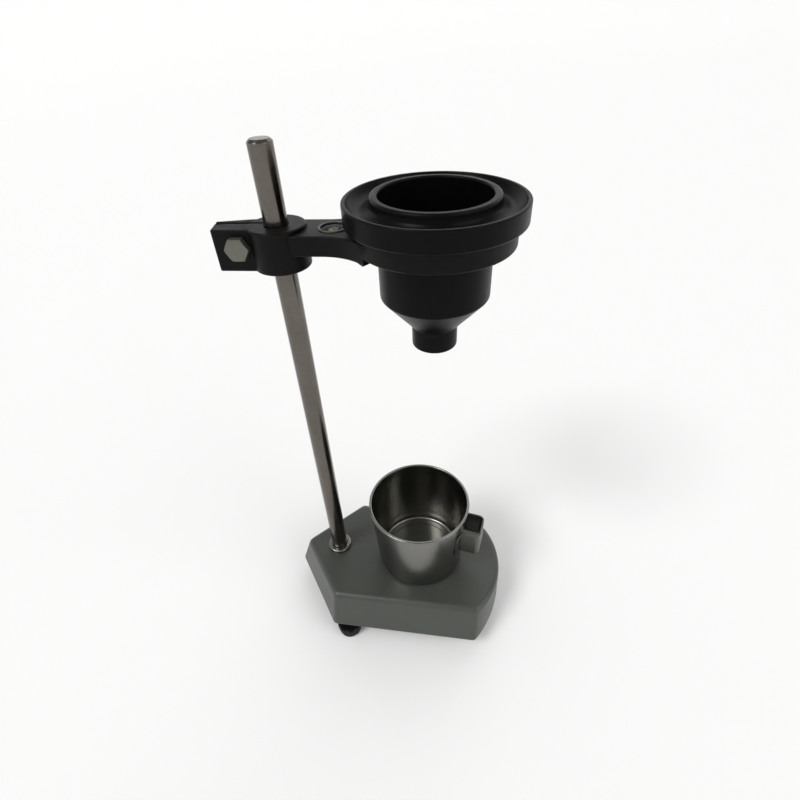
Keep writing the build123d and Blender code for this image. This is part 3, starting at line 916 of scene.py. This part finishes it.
@dataclass(frozen=True)
class Casting:
    """Flared cast base with a pointed end, a bulged front and a ribbed hollow underside."""

    tip_reach: float = 26.0
    shoulder_x: float = 8.0
    shoulder_half: float = 40.4
    front_x: float = 108.0
    front_half: float = 34.5
    bulge: float = 13.0
    tip_flare: float = 8.3
    side_flare: float = 10.0
    front_flare: float = 0.6
    top_round: float = 3.0
    foot_round: float = 0.8
    wall: float = 5.0
    plate: float = 7.0
    bore: float = 4.15
    foot_x: float = 17.0
    foot_y: float = 43.9
    fixed_x: float = 108.0

    def loop(self, growth: float, inwards: float) -> np.ndarray:
        """Gives the rounded outline at a share of the flare, moved inwards.

        The slope and the long side move along their normals. The tip stands where the
        moved slope meets the middle, at inwards / sine of its angle, and the shoulder
        where both moved sides meet. The front is the circle through its two corners and
        the bulge's apex, drawn in by the same amount, and its corner is where the moved
        long side meets that circle. Straight sides carry extra points at even steps.

        Args:
            growth: 0 at the top of the casting and 1 at its foot.
            inwards: How far to move the outline in.

        Returns:
            The plan points of the outline, anticlockwise.
        """
        tip = np.array([-self.tip_reach - growth * self.tip_flare, 0.0])
        shoulder = np.array([self.shoulder_x, self.shoulder_half + growth * self.side_flare])
        front_x = self.front_x + growth * self.front_flare
        front = np.array([front_x, self.front_half + growth * self.side_flare])
        arc_radius = (front[1] ** 2 + self.bulge**2) / (2 * self.bulge)
        arc_centre = np.array([front_x + self.bulge - arc_radius, 0.0])
        slope, side = unit(shoulder - tip), unit(front - shoulder)
        slope_in = np.array([slope[1], -slope[0]])
        side_in = np.array([side[1], -side[0]])
        tip = tip + np.array([inwards / slope[1], 0.0])
        shoulder = shoulder + (slope_in + side_in) * inwards / (1 + slope_in @ side_in)
        across = (shoulder - arc_centre) @ side_in
        along = math.sqrt((arc_radius - inwards) ** 2 - across**2)
        front = arc_centre + side_in * across + side * along
        far = math.atan2(*(front - arc_centre)[::-1])
        turn = np.linspace(-far, far, 31)[1:-1]
        arc = arc_centre + (arc_radius - inwards) * np.stack([np.cos(turn), np.sin(turn)], -1)
        sloped = tip + (shoulder - tip) * np.linspace(0.0, 1.0, 9)[1:-1, None]
        sided = shoulder + (front - shoulder) * np.linspace(0.0, 1.0, 16)[1:-1, None]
        left = np.concatenate([sloped, shoulder[None], sided, front[None]])
        points = np.concatenate([tip[None], left * np.array([1.0, -1.0]), arc, left[::-1]])
        radii = np.zeros(len(points))
        shoulder_at, front_at = 1 + len(sloped), len(left)
        radii[0] = max(5.0 - inwards, 1.2)
        corner_radius = max(4.0 - inwards, 1.2)
        radii[[shoulder_at, front_at, -shoulder_at, -front_at]] = corner_radius
        return round_corners(points, radii)

    def surface(self, place: Place) -> Patch:
        """Makes the outside, the plate's hole and the hollow as one closed surface.

        Rows run from the foot's outer edge up the flared side, round the top edge, in to
        the rod's hole, down through it, out under the plate and down the inner wall.
        Across the plate, a row is the outline shrunk towards the rod's axis until each
        point stands at the hole's radius.

        Args:
            place: The model's levels.

        Returns:
            The surface round the rod's axis.
        """
        low, high = place.underside, place.base_top
        under = high - self.plate
        outer = round_corners(
            [(self.wall, low), (0.0, low), (0.0, high), (self.top_round + 0.6, high)],
            [0, self.foot_round, self.top_round, 0],
            steps=7,
        )
        inner = round_corners(
            [(self.wall + 3.0, under), (self.wall, under), (self.wall, low)], [0, 2.5, 0], steps=5
        )
        rise = high - low
        side = [self.loop(min((high - z) / rise, 1.0), amount) for amount, z in outer]
        hollow = [self.loop((high - z) / rise, amount) for amount, z in inner]
        rows = [raised(loop, z) for loop, (_, z) in zip(side, outer)]
        rows += [raised(self.drawn_in(side[-1], share), high) for share in self.shares()]
        rows += [raised(self.drawn_in(hollow[0], share), under) for share in self.shares()[::-1]]
        rows += [raised(loop, z) for loop, (_, z) in zip(hollow, inner)]
        return Patch(np.stack(rows), loop=True)

    def shares(self) -> np.ndarray:
        """Gives the shares of the way from the outline to the rod's hole."""
        return np.linspace(0.0, 1.0, 9)[1:]

    def drawn_in(self, loop: np.ndarray, share: float) -> np.ndarray:
        """Moves a loop's points towards the rod's hole by a share of the way."""
        distance = np.linalg.norm(loop, axis=-1, keepdims=True)
        return loop * (1 - share + share * self.bore / distance)

    def bosses(self, place: Place) -> list[Patch]:
        """Makes the bosses and ribs under the plate, drawn round the rod's axis.

        A foot's boss is a tube whose points beyond the inner wall are pulled back onto
        it. A rib is a bar with rounded lower edges, sunk a little into the plate.

        Args:
            place: The model's levels.

        Returns:
            The patches.
        """
        low, under = place.underside, place.base_top - self.plate + 0.3
        rod_boss = self.tube(13.0, self.bore, low + 11.0, under)
        fixed_boss = moved(self.tube(8.0, 2.15, low, under), (self.fixed_x, 0.0, 0.0))
        made = [rod_boss, fixed_boss]
        for side in (-1.0, 1.0):
            boss = moved(self.tube(6.0, 2.65, low, under), (self.foot_x, side * self.foot_y, 0.0))
            made.append(self.kept_inside(boss, place))
        length = self.fixed_x - 6.0
        along = round_corners([(12, -2), (length, -2), (length, 2), (12, 2)], [1.2] * 4)
        made.append(block(along, under - 9.3, under, 0.8))
        for side in (-1.0, 1.0):
            reach = sorted((side * 12.0, side * (self.foot_y - 6.0)))
            low_y, high_y = reach
            x_low, x_high = self.foot_x - 2, self.foot_x + 2
            bar = [(x_low, low_y), (x_high, low_y), (x_high, high_y), (x_low, high_y)]
            made.append(block(round_corners(bar, [1.2] * 4), under - 9.3, under, 0.8))
        return made

    def tube(self, radius: float, bore: float, low: float, high: float) -> Patch:
        """Makes an upright tube with a rounded lower edge."""
        profile = [(bore, low), (radius, low), (radius, high), (bore, high)]
        return turned(round_corners(profile, [0.4, 1.0, 0, 0]), sides=64)

    def kept_inside(self, boss: Patch, place: Place) -> Patch:
        """Pulls a boss's points in to 1 mm inside the casting's flared side."""
        points = boss.points.copy()
        rise = place.base_top - place.underside
        growth = (place.base_top - points[..., 2]) / rise
        slope = (self.front_half - self.shoulder_half) / (self.front_x - self.shoulder_x)
        half = self.shoulder_half + slope * (points[..., 0] - self.shoulder_x)
        limit = half + growth * self.side_flare - 1.0
        points[..., 1] = np.clip(points[..., 1], -limit, limit)
        return Patch(points, boss.wrap, boss.loop)

    def build(self, place: Place, shop: Workshop) -> None:
        """Makes the casting, the rod's collar and the fixed foot."""
        patches = [place.at_rod(p) for p in (self.surface(place), *self.bosses(place))]
        shop.piece(
            "casting", patches, "stand", "painted_casting", CASTING_PAINT, "base_casting"
        )
        collar = round_corners(
            [(5.6, 0), (8.5, 0), (8.5, 3.0), (5.6, 3.0)], [0.15, 0.15, 0.9, 0.35], guard=0.05
        )
        collar = place.at_rod(turned(collar), place.base_top)
        shop.piece("collar", [collar], "stand", "polished_steel", TURNED_STEEL, "rod_collar")
        gap = place.underside
        profile = [(4.3, 0), (7.0, 0), (8.0, gap), (2.15, gap), (2.15, 4.0), (4.3, 4.0)]
        foot = turned(round_corners(profile, [0.3, 0.8, 0.3, 0, 0.2, 0.2]), sides=96)
        foot = place.at_rod(moved(foot, (self.fixed_x, 0.0, 0.0)))
        shop.piece("rear_rest", [foot], "stand", "black_rubber", FOOT_RUBBER, "fixed_foot")


@dataclass(frozen=True)
class RodSet:
    """Polished rod with a threaded lower end, its washer and its nut."""

    radius: float = 5.5
    thread_radius: float = 4.0
    chamfer: float = 1.2
    boss_above_underside: float = 11.0
    washer: float = 1.6
    nut: float = 6.5

    def rod(self, place: Place) -> Patch:
        """Makes the rod: thread rows below, then the shank's rows, closed at both ends.

        Args:
            place: The model's levels.

        Returns:
            The closed surface round the rod's axis.
        """
        boss = place.underside + self.boss_above_underside
        thread_low = boss - self.washer - self.nut - 1.0
        thread = threaded(self.thread_radius, 1.25, thread_low, place.base_top - 0.3)
        top = place.rod_top
        shank = round_corners(
            [
                (self.thread_radius - 0.3, place.base_top),
                (self.radius, place.base_top),
                (self.radius, top - self.chamfer),
                (self.radius - self.chamfer, top),
                (0.5, top),
            ],
            [0, 0.25, 0.5, 0.4, 0],
        )
        upper = turned(shank, closed=False, sides=60).points
        return Patch(closed_ends(np.concatenate([thread, upper])))

    def build(self, place: Place, shop: Workshop) -> None:
        """Makes the rod, its washer and its nut."""
        rod = place.at_rod(self.rod(place))
        shop.piece("rod", [rod], "rod", "polished_steel", ROD_STEEL, "stand_rod")
        boss = place.underside + self.boss_above_underside
        washer = round_corners([(4.2, 0), (9, 0), (9, 1.6), (4.2, 1.6)], [0.3] * 4, guard=0.05)
        washer = place.at_rod(turned(washer, sides=96), boss - self.washer)
        shop.piece("washer", [washer], "rod", "zinc_steel", ZINC_PLATE, "rod_washer")
        nut = place.at_rod(hexagon_nut(13.0, self.nut, 4.1), boss - self.washer - self.nut)
        shop.piece("rod_hexagon_nut", [nut], "rod", "zinc_steel", ZINC_PLATE, "rod_nut")


@dataclass(frozen=True)
class ClampArm:
    """Moulded arm: ring for the cup, flared beam, boss on the rod and split clamp lug."""

    ring_radius: float = 36.3
    ring_bore: float = 26.65
    ring_height: float = 9.7
    beam_half: float = 11.5
    beam_height: float = 9.3
    beam_drop: float = 3.5
    flare: float = 26.0
    boss_radius: float = 13.5
    boss_bore: float = 5.6
    boss_height: float = 19.5
    boss_drop: float = 1.8
    lug_reach: float = 28.4
    slit_low: float = 0.4
    slit_high: float = 2.0
    level_x: float = 26.2
    level_radius: float = 7.0
    level_depth: float = 6.0
    bolt_x: float = 16.8
    bolt_drop: float = 8.1
    edge: float = 0.9

    def beam_outline(self, place: Place) -> np.ndarray:
        """Gives the beam's plan, anticlockwise round the level.

        The side is straight, and then follows the circle that touches both the straight
        side and the ring: its centre is a flare radius outside the side, and both radii
        together from the ring's centre. The far end is an arc hidden in the ring's wall.

        Args:
            place: The arm's reach.

        Returns:
            The plan points along and across the arm.
        """
        centre_y = self.beam_half + self.flare
        apart = self.ring_radius + self.flare
        centre_x = place.arm_reach - math.sqrt(apart**2 - centre_y**2)
        touch_x = place.arm_reach - (place.arm_reach - centre_x) * self.ring_radius / apart
        start_x = self.boss_bore + 2.5
        straight = np.linspace(start_x, centre_x, 12, endpoint=False)
        turn = np.linspace(0.0, 0.985 * math.asin((touch_x - centre_x) / self.flare), 22)
        curve_x = centre_x + self.flare * np.sin(turn)
        curve_y = centre_y - self.flare * np.cos(turn)
        x = np.concatenate([straight, curve_x])
        y = np.concatenate([np.full(len(straight), self.beam_half), curve_y])
        across = np.linspace(-1.0, 1.0, 24)[1:-1]
        middle_radius = (self.ring_bore + self.ring_radius) / 2
        swing = across * math.asin(centre_y / apart)
        far_x = place.arm_reach - middle_radius * np.cos(swing)
        far = np.stack([far_x, middle_radius * np.sin(swing)], axis=-1)
        near = np.stack([np.full(22, start_x), -across * self.beam_half], axis=-1)
        front = np.stack([x, -y], axis=-1)
        back = np.stack([x, y], axis=-1)[::-1]
        return np.concatenate([front, far, back, near])

    def beam(self, place: Place) -> Patch:
        """Makes the beam with the level's round seat in its top as one closed surface.

        Rows run from the middle of the seat's floor up its wall, out over the top to the
        outline, down the rounded side and in to the middle of the underside. On the top,
        a row is a share of the way from the seat's circle to the outline, along the same
        ray from the level's centre.

        Args:
            place: The arm's reach and levels.

        Returns:
            The surface along the arm.
        """
        top = place.ring_top - self.beam_drop
        low = top - self.beam_height
        middle = np.array([self.level_x, 0.0])
        outline = self.beam_outline(place)
        seat = middle + unit(outline - middle) * self.level_radius
        floor = top - self.level_depth
        side = round_corners(
            [(1.2, top), (0.0, top), (0.0, low), (1.2, low)], [0, self.edge, self.edge, 0]
        )
        sides = inset(np.repeat(outline[None], len(side), axis=0), side[:, :1])
        share = np.linspace(0.0, 1.0, 7)[:-1, None, None]
        over = seat + (sides[0] - seat) * share
        centre = np.broadcast_to(middle, outline.shape)[None]
        loops = np.concatenate([centre, seat[None], over, sides, centre])
        levels = np.concatenate([[floor, floor], np.full(6, top), side[:, 1], [low]])
        return Patch(raised(loops, levels[:, None]))

    def boss(self, place: Place) -> Patch:
        """Makes the boss as a rounded section carried round the rod, open at the slit.

        At radius r the sweep starts where the slit's front face cuts that circle, at the
        angle pi - asin(front / r), and ends at its back face, a full turn less the slit.

        Args:
            place: The arm's levels.

        Returns:
            The closed surface.
        """
        high = place.ring_top - self.boss_drop
        low = high - self.boss_height
        section = round_corners(
            [
                (self.boss_bore, low),
                (self.boss_radius, low),
                (self.boss_radius, high),
                (self.boss_bore, high),
            ],
            [0.4, self.edge, self.edge, 0.5],
        )
        radius, level = section[None, :, 0], section[None, :, 1]
        start = math.pi - np.arcsin(self.slit_low / radius)
        end = 3 * math.pi - np.arcsin(self.slit_high / radius)
        angle = start + (end - start) * np.linspace(0.0, 1.0, 121)[:, None]
        points = [radius * np.cos(angle), radius * np.sin(angle), level + 0 * angle]
        return Patch(closed_ends(np.stack(points, axis=-1)))

    def cheeks(self, place: Place) -> list[Patch]:
        """Makes the lug's two cheeks, one on each side of the slit."""
        high = place.ring_top - self.boss_drop
        low = high - self.boss_height
        end = -self.lug_reach
        slant = 1.5 / 11.6
        at_low, at_high = end - slant * 8.4, end - slant * 10.0
        front = [(end, -8.0), (-8.0, -8.0), (-8.0, self.slit_low), (at_low, self.slit_low)]
        back = [(at_high, self.slit_high), (-8.0, self.slit_high), (-8.0, 6.8)]
        back += [(-13.5, 6.8), (end - 1.5, 3.6)]
        plans = [round_corners(front, [0.9, 0.3, 0.2, 0.3])]
        plans.append(round_corners(back, [0.3, 0.2, 0.3, 0.0, 0.7]))
        return [block(plan, low + 0.02, high - 0.02, 0.7) for plan in plans]

    def build(self, place: Place, shop: Workshop) -> None:
        """Makes the arm, the clamp's nut and its bolt."""
        top = place.ring_top
        ring = round_corners(
            [
                (self.ring_bore, top - self.ring_height),
                (self.ring_radius, top - self.ring_height),
                (self.ring_radius, top),
                (self.ring_bore, top),
            ],
            [0.4, self.edge, 0.6, 0.4],
        )
        patches = [place.on_arm(turned(ring, sides=200), place.arm_reach)]
        patches += [place.on_arm(p) for p in (self.beam(place), self.boss(place))]
        patches += [place.on_arm(p) for p in self.cheeks(place)]
        shop.piece("arm_moulding", patches, "arm", "black_plastic", BLACK_MOULDING, "support_arm")
        level = top - self.boss_drop - self.bolt_drop
        nut = place.on_arm(laid(hexagon_nut(10.0, 5.0, 3.1), False), -self.bolt_x, 4.4, level)
        shop.piece("clamp_hexagon_nut", [nut], "arm", "zinc_steel", ZINC_PLATE, "clamp_nut")
        shank = Patch(closed_ends(threaded(3.0, 1.0, -18.9, -0.01)))
        parts = [hexagon_head(10.0, 3.6), shank]
        parts = [place.on_arm(laid(p, True), -self.bolt_x, -8.0, level) for p in parts]
        shop.piece("clamp_screw", parts, "clamp_bolt", "zinc_steel", BRIGHT_ZINC, "clamp_bolt")


@dataclass(frozen=True)
class BubbleLevel:
    """Round level let into the beam: metal pot and domed glass over the liquid."""

    arm: ClampArm = field(default_factory=ClampArm)
    depth: float = 6.0
    proud: float = 0.5
    wall: float = 1.2
    glass: float = 1.4
    sunk: float = 0.3

    def build(self, place: Place, shop: Workshop) -> None:
        """Makes the pot and the glass. The liquid's CAD solid stays."""
        top = place.ring_top - self.arm.beam_drop
        radius = self.arm.level_radius
        inside = radius - self.wall
        pot = round_corners(
            [
                (0, -self.depth),
                (radius, -self.depth),
                (radius, self.proud),
                (inside, self.proud),
                (inside, 1.0 - self.depth),
                (0, 1.0 - self.depth),
            ],
            [0, 0.3, 0.4, 0.3, 0.2, 0],
        )
        pot = place.on_arm(turned(pot, closed=False, sides=96), self.arm.level_x, 0.0, top)
        shop.piece("level_pot_shell", [pot], "arm", "level_pot", LEVEL_POT, "level_housing")
        high = self.proud - self.sunk
        low = high - self.glass
        across = np.linspace(0.0, inside - 0.3, 12)
        dome = np.stack([across, high - 0.35 * (across / inside) ** 2], axis=-1)[::-1]
        rim = np.array([(0.0, low), (inside - 0.1, low), (inside, low + 0.1), (inside, high - 0.45)])
        glass = turned(np.concatenate([rim, dome]), closed=False, sides=96)
        glass = place.on_arm(glass, self.arm.level_x, 0.0, top)
        shop.piece("level_dome", [glass], "arm", "level_glass", LEVEL_GLASS, "level_window")


@dataclass(frozen=True)
class FlowCup:
    """Flow cup: bore with a rounded rim, overflow gutter, lip, body, cone and spigot."""

    flange: float = 40.3
    flange_height: float = 9.6
    lip_width: float = 1.8
    gutter: float = 4.5
    rise: float = 1.8
    rim: float = 28.2
    bore: float = 24.75
    body: float = 26.25
    body_end: float = 44.2
    cone_end: float = 61.2
    spigot: float = 11.4
    height: float = 72.5
    nozzle: float = 6.0
    cone_half_angle: float = 40.5

    def cone_level(self, radius: float) -> float:
        """Gives the level below the lip at which the inner cone has this radius."""
        slope = math.tan(math.radians(self.cone_half_angle))
        return 4.0 - self.height + (radius - 2.0) / slope

    def profile(self) -> np.ndarray:
        """Gives the cup's closed profile of radius and level below the lip.

        The gutter's floor is a half wave: its depth at a share s of the way from the lip
        to the rim is the gutter's depth times sin(pi s) to the power 0.7, on the straight
        line between its two ends.

        Returns:
            The profile's points.
        """
        lip_inner = self.flange - self.lip_width
        share = np.linspace(0.0, 1.0, 27)[1:-1]
        gutter_x = lip_inner + (self.rim - lip_inner) * share
        gutter_z = -0.9 * share - (self.gutter - 0.45) * np.sin(math.pi * share) ** 0.7
        gutter = list(zip(gutter_x, gutter_z))
        corners = [
            (self.rim, self.rise, 1.3),
            (self.bore, self.rise, 0.9),
            (self.bore, self.cone_level(self.bore), 1.0),
            (self.nozzle, self.cone_level(self.nozzle), 0.2),
            (self.nozzle, -self.height, 0.2),
            (self.spigot, -self.height, 1.1),
            (self.spigot, -self.cone_end, 0.8),
            (self.body, -self.body_end, 1.6),
            (self.body, -self.flange_height, 0.5),
            (self.flange, -self.flange_height, 1.0),
            (self.flange, 0.0, 0.7),
            (lip_inner, 0.0, 0.6),
        ]
        points = [(r, z) for r, z, _ in corners] + gutter
        return round_corners(points, [w for *_, w in corners] + [0.0] * len(gutter))

    def build(self, place: Place, shop: Workshop) -> None:
        """Makes the cup and its orifice insert."""
        cup = place.on_arm(turned(self.profile(), sides=240), place.arm_reach, 0.0, place.lip_top)
        shop.piece("cup", [cup], "flow_cup", "black_plastic", CUP_COATING, "flow_cup_body")
        floor = -self.height
        insert = round_corners(
            [
                (2.0, floor),
                (self.nozzle, floor),
                (self.nozzle, self.cone_level(self.nozzle)),
                (2.0, self.cone_level(2.0)),
            ],
            [0.05, 0.3, 0.1, 0.05],
            guard=0.02,
        )
        insert = place.on_arm(turned(insert, sides=96), place.arm_reach, 0.0, place.lip_top)
        shop.piece("orifice", [insert], "flow_cup", "polished_steel", TURNED_STEEL, "flow_nozzle")


@dataclass(frozen=True)
class ReceivingCup:
    """Tapered sheet cup with a rolled rim, and a flat band bent to a square handle."""

    centre_x: float = 61.7
    centre_y: float = 5.9
    rim: float = 33.7
    base: float = 30.3
    height: float = 58.0
    wall: float = 1.0
    bead: float = 0.7
    handle_turn: float = -7.0
    handle_half: float = 9.3
    handle_reach: float = 44.8
    handle_top: float = 46.0
    handle_height: float = 19.5
    handle_corner: float = 3.4
    band: float = 1.2
    foot: float = 5.0

    def radius(self, level: float) -> float:
        """Gives the outer wall's radius at a level."""
        return self.base + (self.rim - self.base) * level / self.height

    def profile(self) -> np.ndarray:
        """Gives the shell's profile from the middle of its foot round to its floor."""
        under_bead = self.height - 1.7
        lip = self.rim + self.bead
        corners = [
            (0.0, 0.4, 0.0),
            (23.0, 0.4, 1.0),
            (24.5, 0.0, 0.6),
            (self.base, 0.0, 3.0),
            (self.radius(under_bead), under_bead, 0.3),
            (lip, under_bead + 0.3, 0.5),
            (lip, self.height, 0.8),
            (self.rim - self.wall - 0.1, self.height, 0.6),
            (self.radius(self.height - 2.4) - self.wall, self.height - 2.4, 0.6),
            (self.radius(self.wall) - self.wall, self.wall, 2.6),
            (24.0, self.wall, 0.6),
            (22.8, self.wall + 0.35, 0.6),
            (0.0, self.wall + 0.35, 0.0),
        ]
        return round_corners([(r, z) for r, z, _ in corners], [w for *_, w in corners])

    def band_path(self, level: float) -> np.ndarray:
        """Gives the band's middle line in plan at a level.

        It lies on the wall from each foot's end to where it leaves the wall, then runs
        straight out, round two corners and back.

        Args:
            level: Height above the cup's foot.

        Returns:
            Points from one foot's end to the other.
        """
        on_wall = self.radius(level) + self.band / 2 + 0.02
        middle = self.handle_half - self.band / 2
        far = self.handle_reach - self.band / 2
        across = np.linspace(self.handle_half + self.foot, middle + 1.6, 6)
        foot = np.stack([np.sqrt(on_wall**2 - across**2), across], axis=-1)
        bend = np.array([[math.sqrt(on_wall**2 - middle**2), middle], [far, middle]])
        half = np.concatenate([foot, bend])
        points = np.concatenate([half, (half * np.array([1.0, -1.0]))[::-1]])
        radii = np.zeros(len(points))
        radii[[6, -7]] = 1.1
        radii[[7, -8]] = self.handle_corner
        return round_corners(points, radii)

    def handle(self) -> Patch:
        """Makes the band: a rounded flat section carried along its middle line.

        The path at a level is a blend of its lowest and highest paths, because the wall's
        radius grows evenly with the level. A section point stands off the path along its
        normal.

        Returns:
            The closed surface round the cup's axis, along the X axis.
        """
        low, high = self.handle_top - self.handle_height, self.handle_top
        half = self.band / 2
        section = round_corners(
            [(-half, low), (half, low), (half, high), (-half, high)], [0.4] * 4, guard=0.15
        )
        share = ((section[:, 1] - low) / self.handle_height)[None, :, None]
        lower, upper = self.band_path(low), self.band_path(high)
        path = lower[:, None] * (1 - share) + upper[:, None] * share
        tangent = np.gradient(path, axis=0)
        tangent = unit(tangent)
        normal = np.stack([tangent[..., 1], -tangent[..., 0]], axis=-1)
        plan = path + normal * section[None, :, :1]
        levels = np.broadcast_to(section[None, :, 1], plan.shape[:2])
        return Patch(closed_ends(raised(plan, levels)))

    def build(self, place: Place, shop: Workshop) -> None:
        """Makes the shell and its handle."""
        at = (self.centre_x, self.centre_y, 0.0)
        shell = turned(self.profile(), closed=False, sides=240)
        shell = place.at_rod(moved(shell, at), place.base_top)
        shop.piece(
            "cup_shell", [shell], "receiving_cup", "sheet_steel", SHEET_STEEL,
            "receiving_cup_shell",
        )
        band = place.at_rod(moved(self.handle(), at, self.handle_turn), place.base_top)
        shop.piece(
            "handle_band", [band], "receiving_cup", "sheet_steel", BAND_STEEL,
            "receiving_cup_handle",
        )


class Side(Enum):
    """The two levelling feet, with the side of the base that each stands on."""

    FRONT = -1
    REAR = 1

    @property
    def word(self) -> str:
        """Gives the side's name as the bodies use it."""
        return self.name.lower()


@dataclass(frozen=True)
class LevellingFoot:
    """Pad, grooved knob and threaded stud of one levelling foot."""

    side: Side
    x: float = 17.0
    y: float = 43.9
    pad: float = 8.5
    pad_height: float = 4.0
    knob: float = 8.75
    knob_height: float = 6.0
    stud: float = 2.5
    reach: float = 5.0

    def knob_surface(self) -> Patch:
        """Makes the knob: its side's radius dips by 0.9 mm in eight round grooves.

        The radius at angle a is the knob's less 0.9 times the sixth power of cos(4 a),
        and the top and bottom edges are rounded by moving their rows in.

        Returns:
            The closed surface round the stud's axis.
        """
        low, high = self.pad_height + 0.02, self.pad_height + self.knob_height
        angle = ring_of_angles(192)
        station = round_corners(
            [(self.knob - self.stud, low), (0, low), (0, high), (self.knob - self.stud, high)],
            [0, 0.6, 1.0, 0],
            steps=6,
        )
        groove = 0.9 * np.cos(4 * angle) ** 6
        depth = np.clip(1 - station[:, :1] / 4.0, 0.0, 1.0)
        radius = self.knob - station[:, :1] - groove * depth
        plan = radius[..., None] * np.stack([np.cos(angle), np.sin(angle)], axis=-1)
        return Patch(raised(plan, station[:, 1:]), loop=True)

    def build(self, place: Place, shop: Workshop) -> None:
        """Makes the pad, the knob and the stud."""
        at = (self.x, self.side.value * self.y, 0.0)
        word = self.side.word
        profile = [(0, 0), (self.pad - 0.8, 0), (self.pad, self.pad_height), (2.65, self.pad_height)]
        profile += [(2.65, self.pad_height - 1.5), (0, self.pad_height - 1.5)]
        pad = turned(round_corners(profile, [0, 0.9, 0.8, 0.2, 0, 0]), closed=False, sides=96)
        pad = place.at_rod(moved(pad, at))
        shop.piece(
            f"{word}_pad", [pad], f"{word}_foot", "black_rubber", FOOT_RUBBER, f"foot_pad_{word}"
        )
        knob = place.at_rod(moved(self.knob_surface(), at))
        shop.piece(
            f"{word}_knob", [knob], f"{word}_foot_screw", "black_plastic", KNOB_MOULDING,
            f"foot_knob_{word}",
        )
        low, high = self.pad_height - 1.45, place.underside + self.reach
        stud = place.at_rod(moved(Patch(closed_ends(threaded(self.stud, 0.8, low, high))), at))
        shop.piece(
            f"{word}_stud", [stud], f"{word}_foot_screw", "zinc_steel", ZINC_PLATE,
            f"foot_stud_{word}",
        )


@dataclass(frozen=True)
class Studio:
    """White sweep under and behind the object, and soft light from above."""

    flat_radius: float = 4.0
    sweep_radius: float = 14.0
    sweep_height: float = 7.0
    colour: tuple[float, float, float] = (0.97, 0.97, 0.965)
    key_power: float = 1.25
    side_power: float = 0.7
    back_power: float = 0.5
    world_strength: float = 0.38

    def build(self) -> None:
        """Makes the floor, the lamps and the world."""
        self.floor()
        self.sun("key_sun", (38.0, -12.0, -28.0), 22.0, self.key_power)
        self.sun("side_sun", (42.0, 34.0, 40.0), 40.0, self.side_power)
        self.sun("back_sun", (-48.0, 10.0, 0.0), 45.0, self.back_power)
        self.world()

    def floor(self) -> None:
        """Makes the floor as one round sweep.

        The level at radius r is 0 up to the flat radius, and beyond it rises with the
        square of the way from there to the sweep's edge.
        """
        angle = ring_of_angles(96)[None, :]
        radius = np.concatenate([np.linspace(0.0, self.flat_radius, 9), np.linspace(
            self.flat_radius, self.sweep_radius, 25)[1:]])[:, None]
        way = np.clip((radius - self.flat_radius) / (self.sweep_radius - self.flat_radius), 0, 1)
        level = self.sweep_height * way**2 + 0 * angle
        points = np.stack([radius * np.cos(angle), radius * np.sin(angle), level], axis=-1)
        grid = Patch(points)
        mesh = bpy.data.meshes.new("studio_floor")
        mesh.from_pydata(points.reshape(-1, 3).tolist(), [], grid.quads(0).tolist())
        mesh.shade_smooth()
        floor = bpy.data.objects.new("studio_floor", mesh)
        bpy.context.scene.collection.objects.link(floor)
        material, _, shader = node_tree("studio_floor")
        shader.inputs["Base Color"].default_value = (*self.colour, 1.0)
        shader.inputs["Roughness"].default_value = 1.0
        shader.inputs["Specular IOR Level"].default_value = 0.0
        mesh.materials.append(material)

    def sun(self, name: str, turn: tuple[float, float, float], angle: float, power: float) -> None:
        """Makes a soft distant lamp.

        Args:
            name: The lamp's name.
            turn: Its turn about X, Y and Z in degrees. It shines down before it turns.
            angle: How wide it looks, in degrees.
            power: Its strength.
        """
        data = bpy.data.lights.new(name, "SUN")
        data.angle = math.radians(angle)
        data.energy = power
        lamp = bpy.data.objects.new(name, data)
        bpy.context.scene.collection.objects.link(lamp)
        lamp.rotation_euler = [math.radians(v) for v in turn]

    def world(self) -> None:
        """Makes a plain world of modest strength."""
        world = bpy.data.worlds.new("studio_world")
        bpy.context.scene.world = world
        world.use_nodes = True
        background = world.node_tree.nodes["Background"]
        background.inputs["Color"].default_value = (1.0, 1.0, 1.0, 1.0)
        background.inputs["Strength"].default_value = self.world_strength


def main() -> None:
    """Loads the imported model, dresses it, builds the finer pieces, and lights them."""
    logging.basicConfig(level=logging.INFO, format="%(name)s: %(message)s")
    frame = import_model()
    bpy.context.scene.view_settings.view_transform = "Standard"
    finishes = FinishShop()
    for node, piece in frame["nodes"].items():
        finishes.dress(piece, NODE_FINISHES[node])
        LOG.info("dressed %s", node)
    casting_low, casting_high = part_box("base_casting")
    rod_low, rod_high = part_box("stand_rod")
    lip_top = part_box("flow_cup_body")[1][2] / MM - FlowCup().rise
    rod_x, rod_y = ((rod_low[i] + rod_high[i]) / 2 for i in (0, 1))
    place = Place(
        rod_x=rod_x / MM,
        rod_y=rod_y / MM,
        underside=casting_low[2] / MM,
        base_top=casting_high[2] / MM,
        rod_top=rod_high[2] / MM,
        lip_top=lip_top,
    )
    PhotoCamera().place(Vector((rod_x, rod_y, casting_high[2])))
    shop = Workshop(finishes)
    builders = [Casting(), RodSet(), ClampArm(), BubbleLevel(), FlowCup(), ReceivingCup()]
    builders += [LevellingFoot(side) for side in Side]
    for builder in builders:
        builder.build(place, shop)
    Studio().build()


if __name__ == "__main__":
    main()
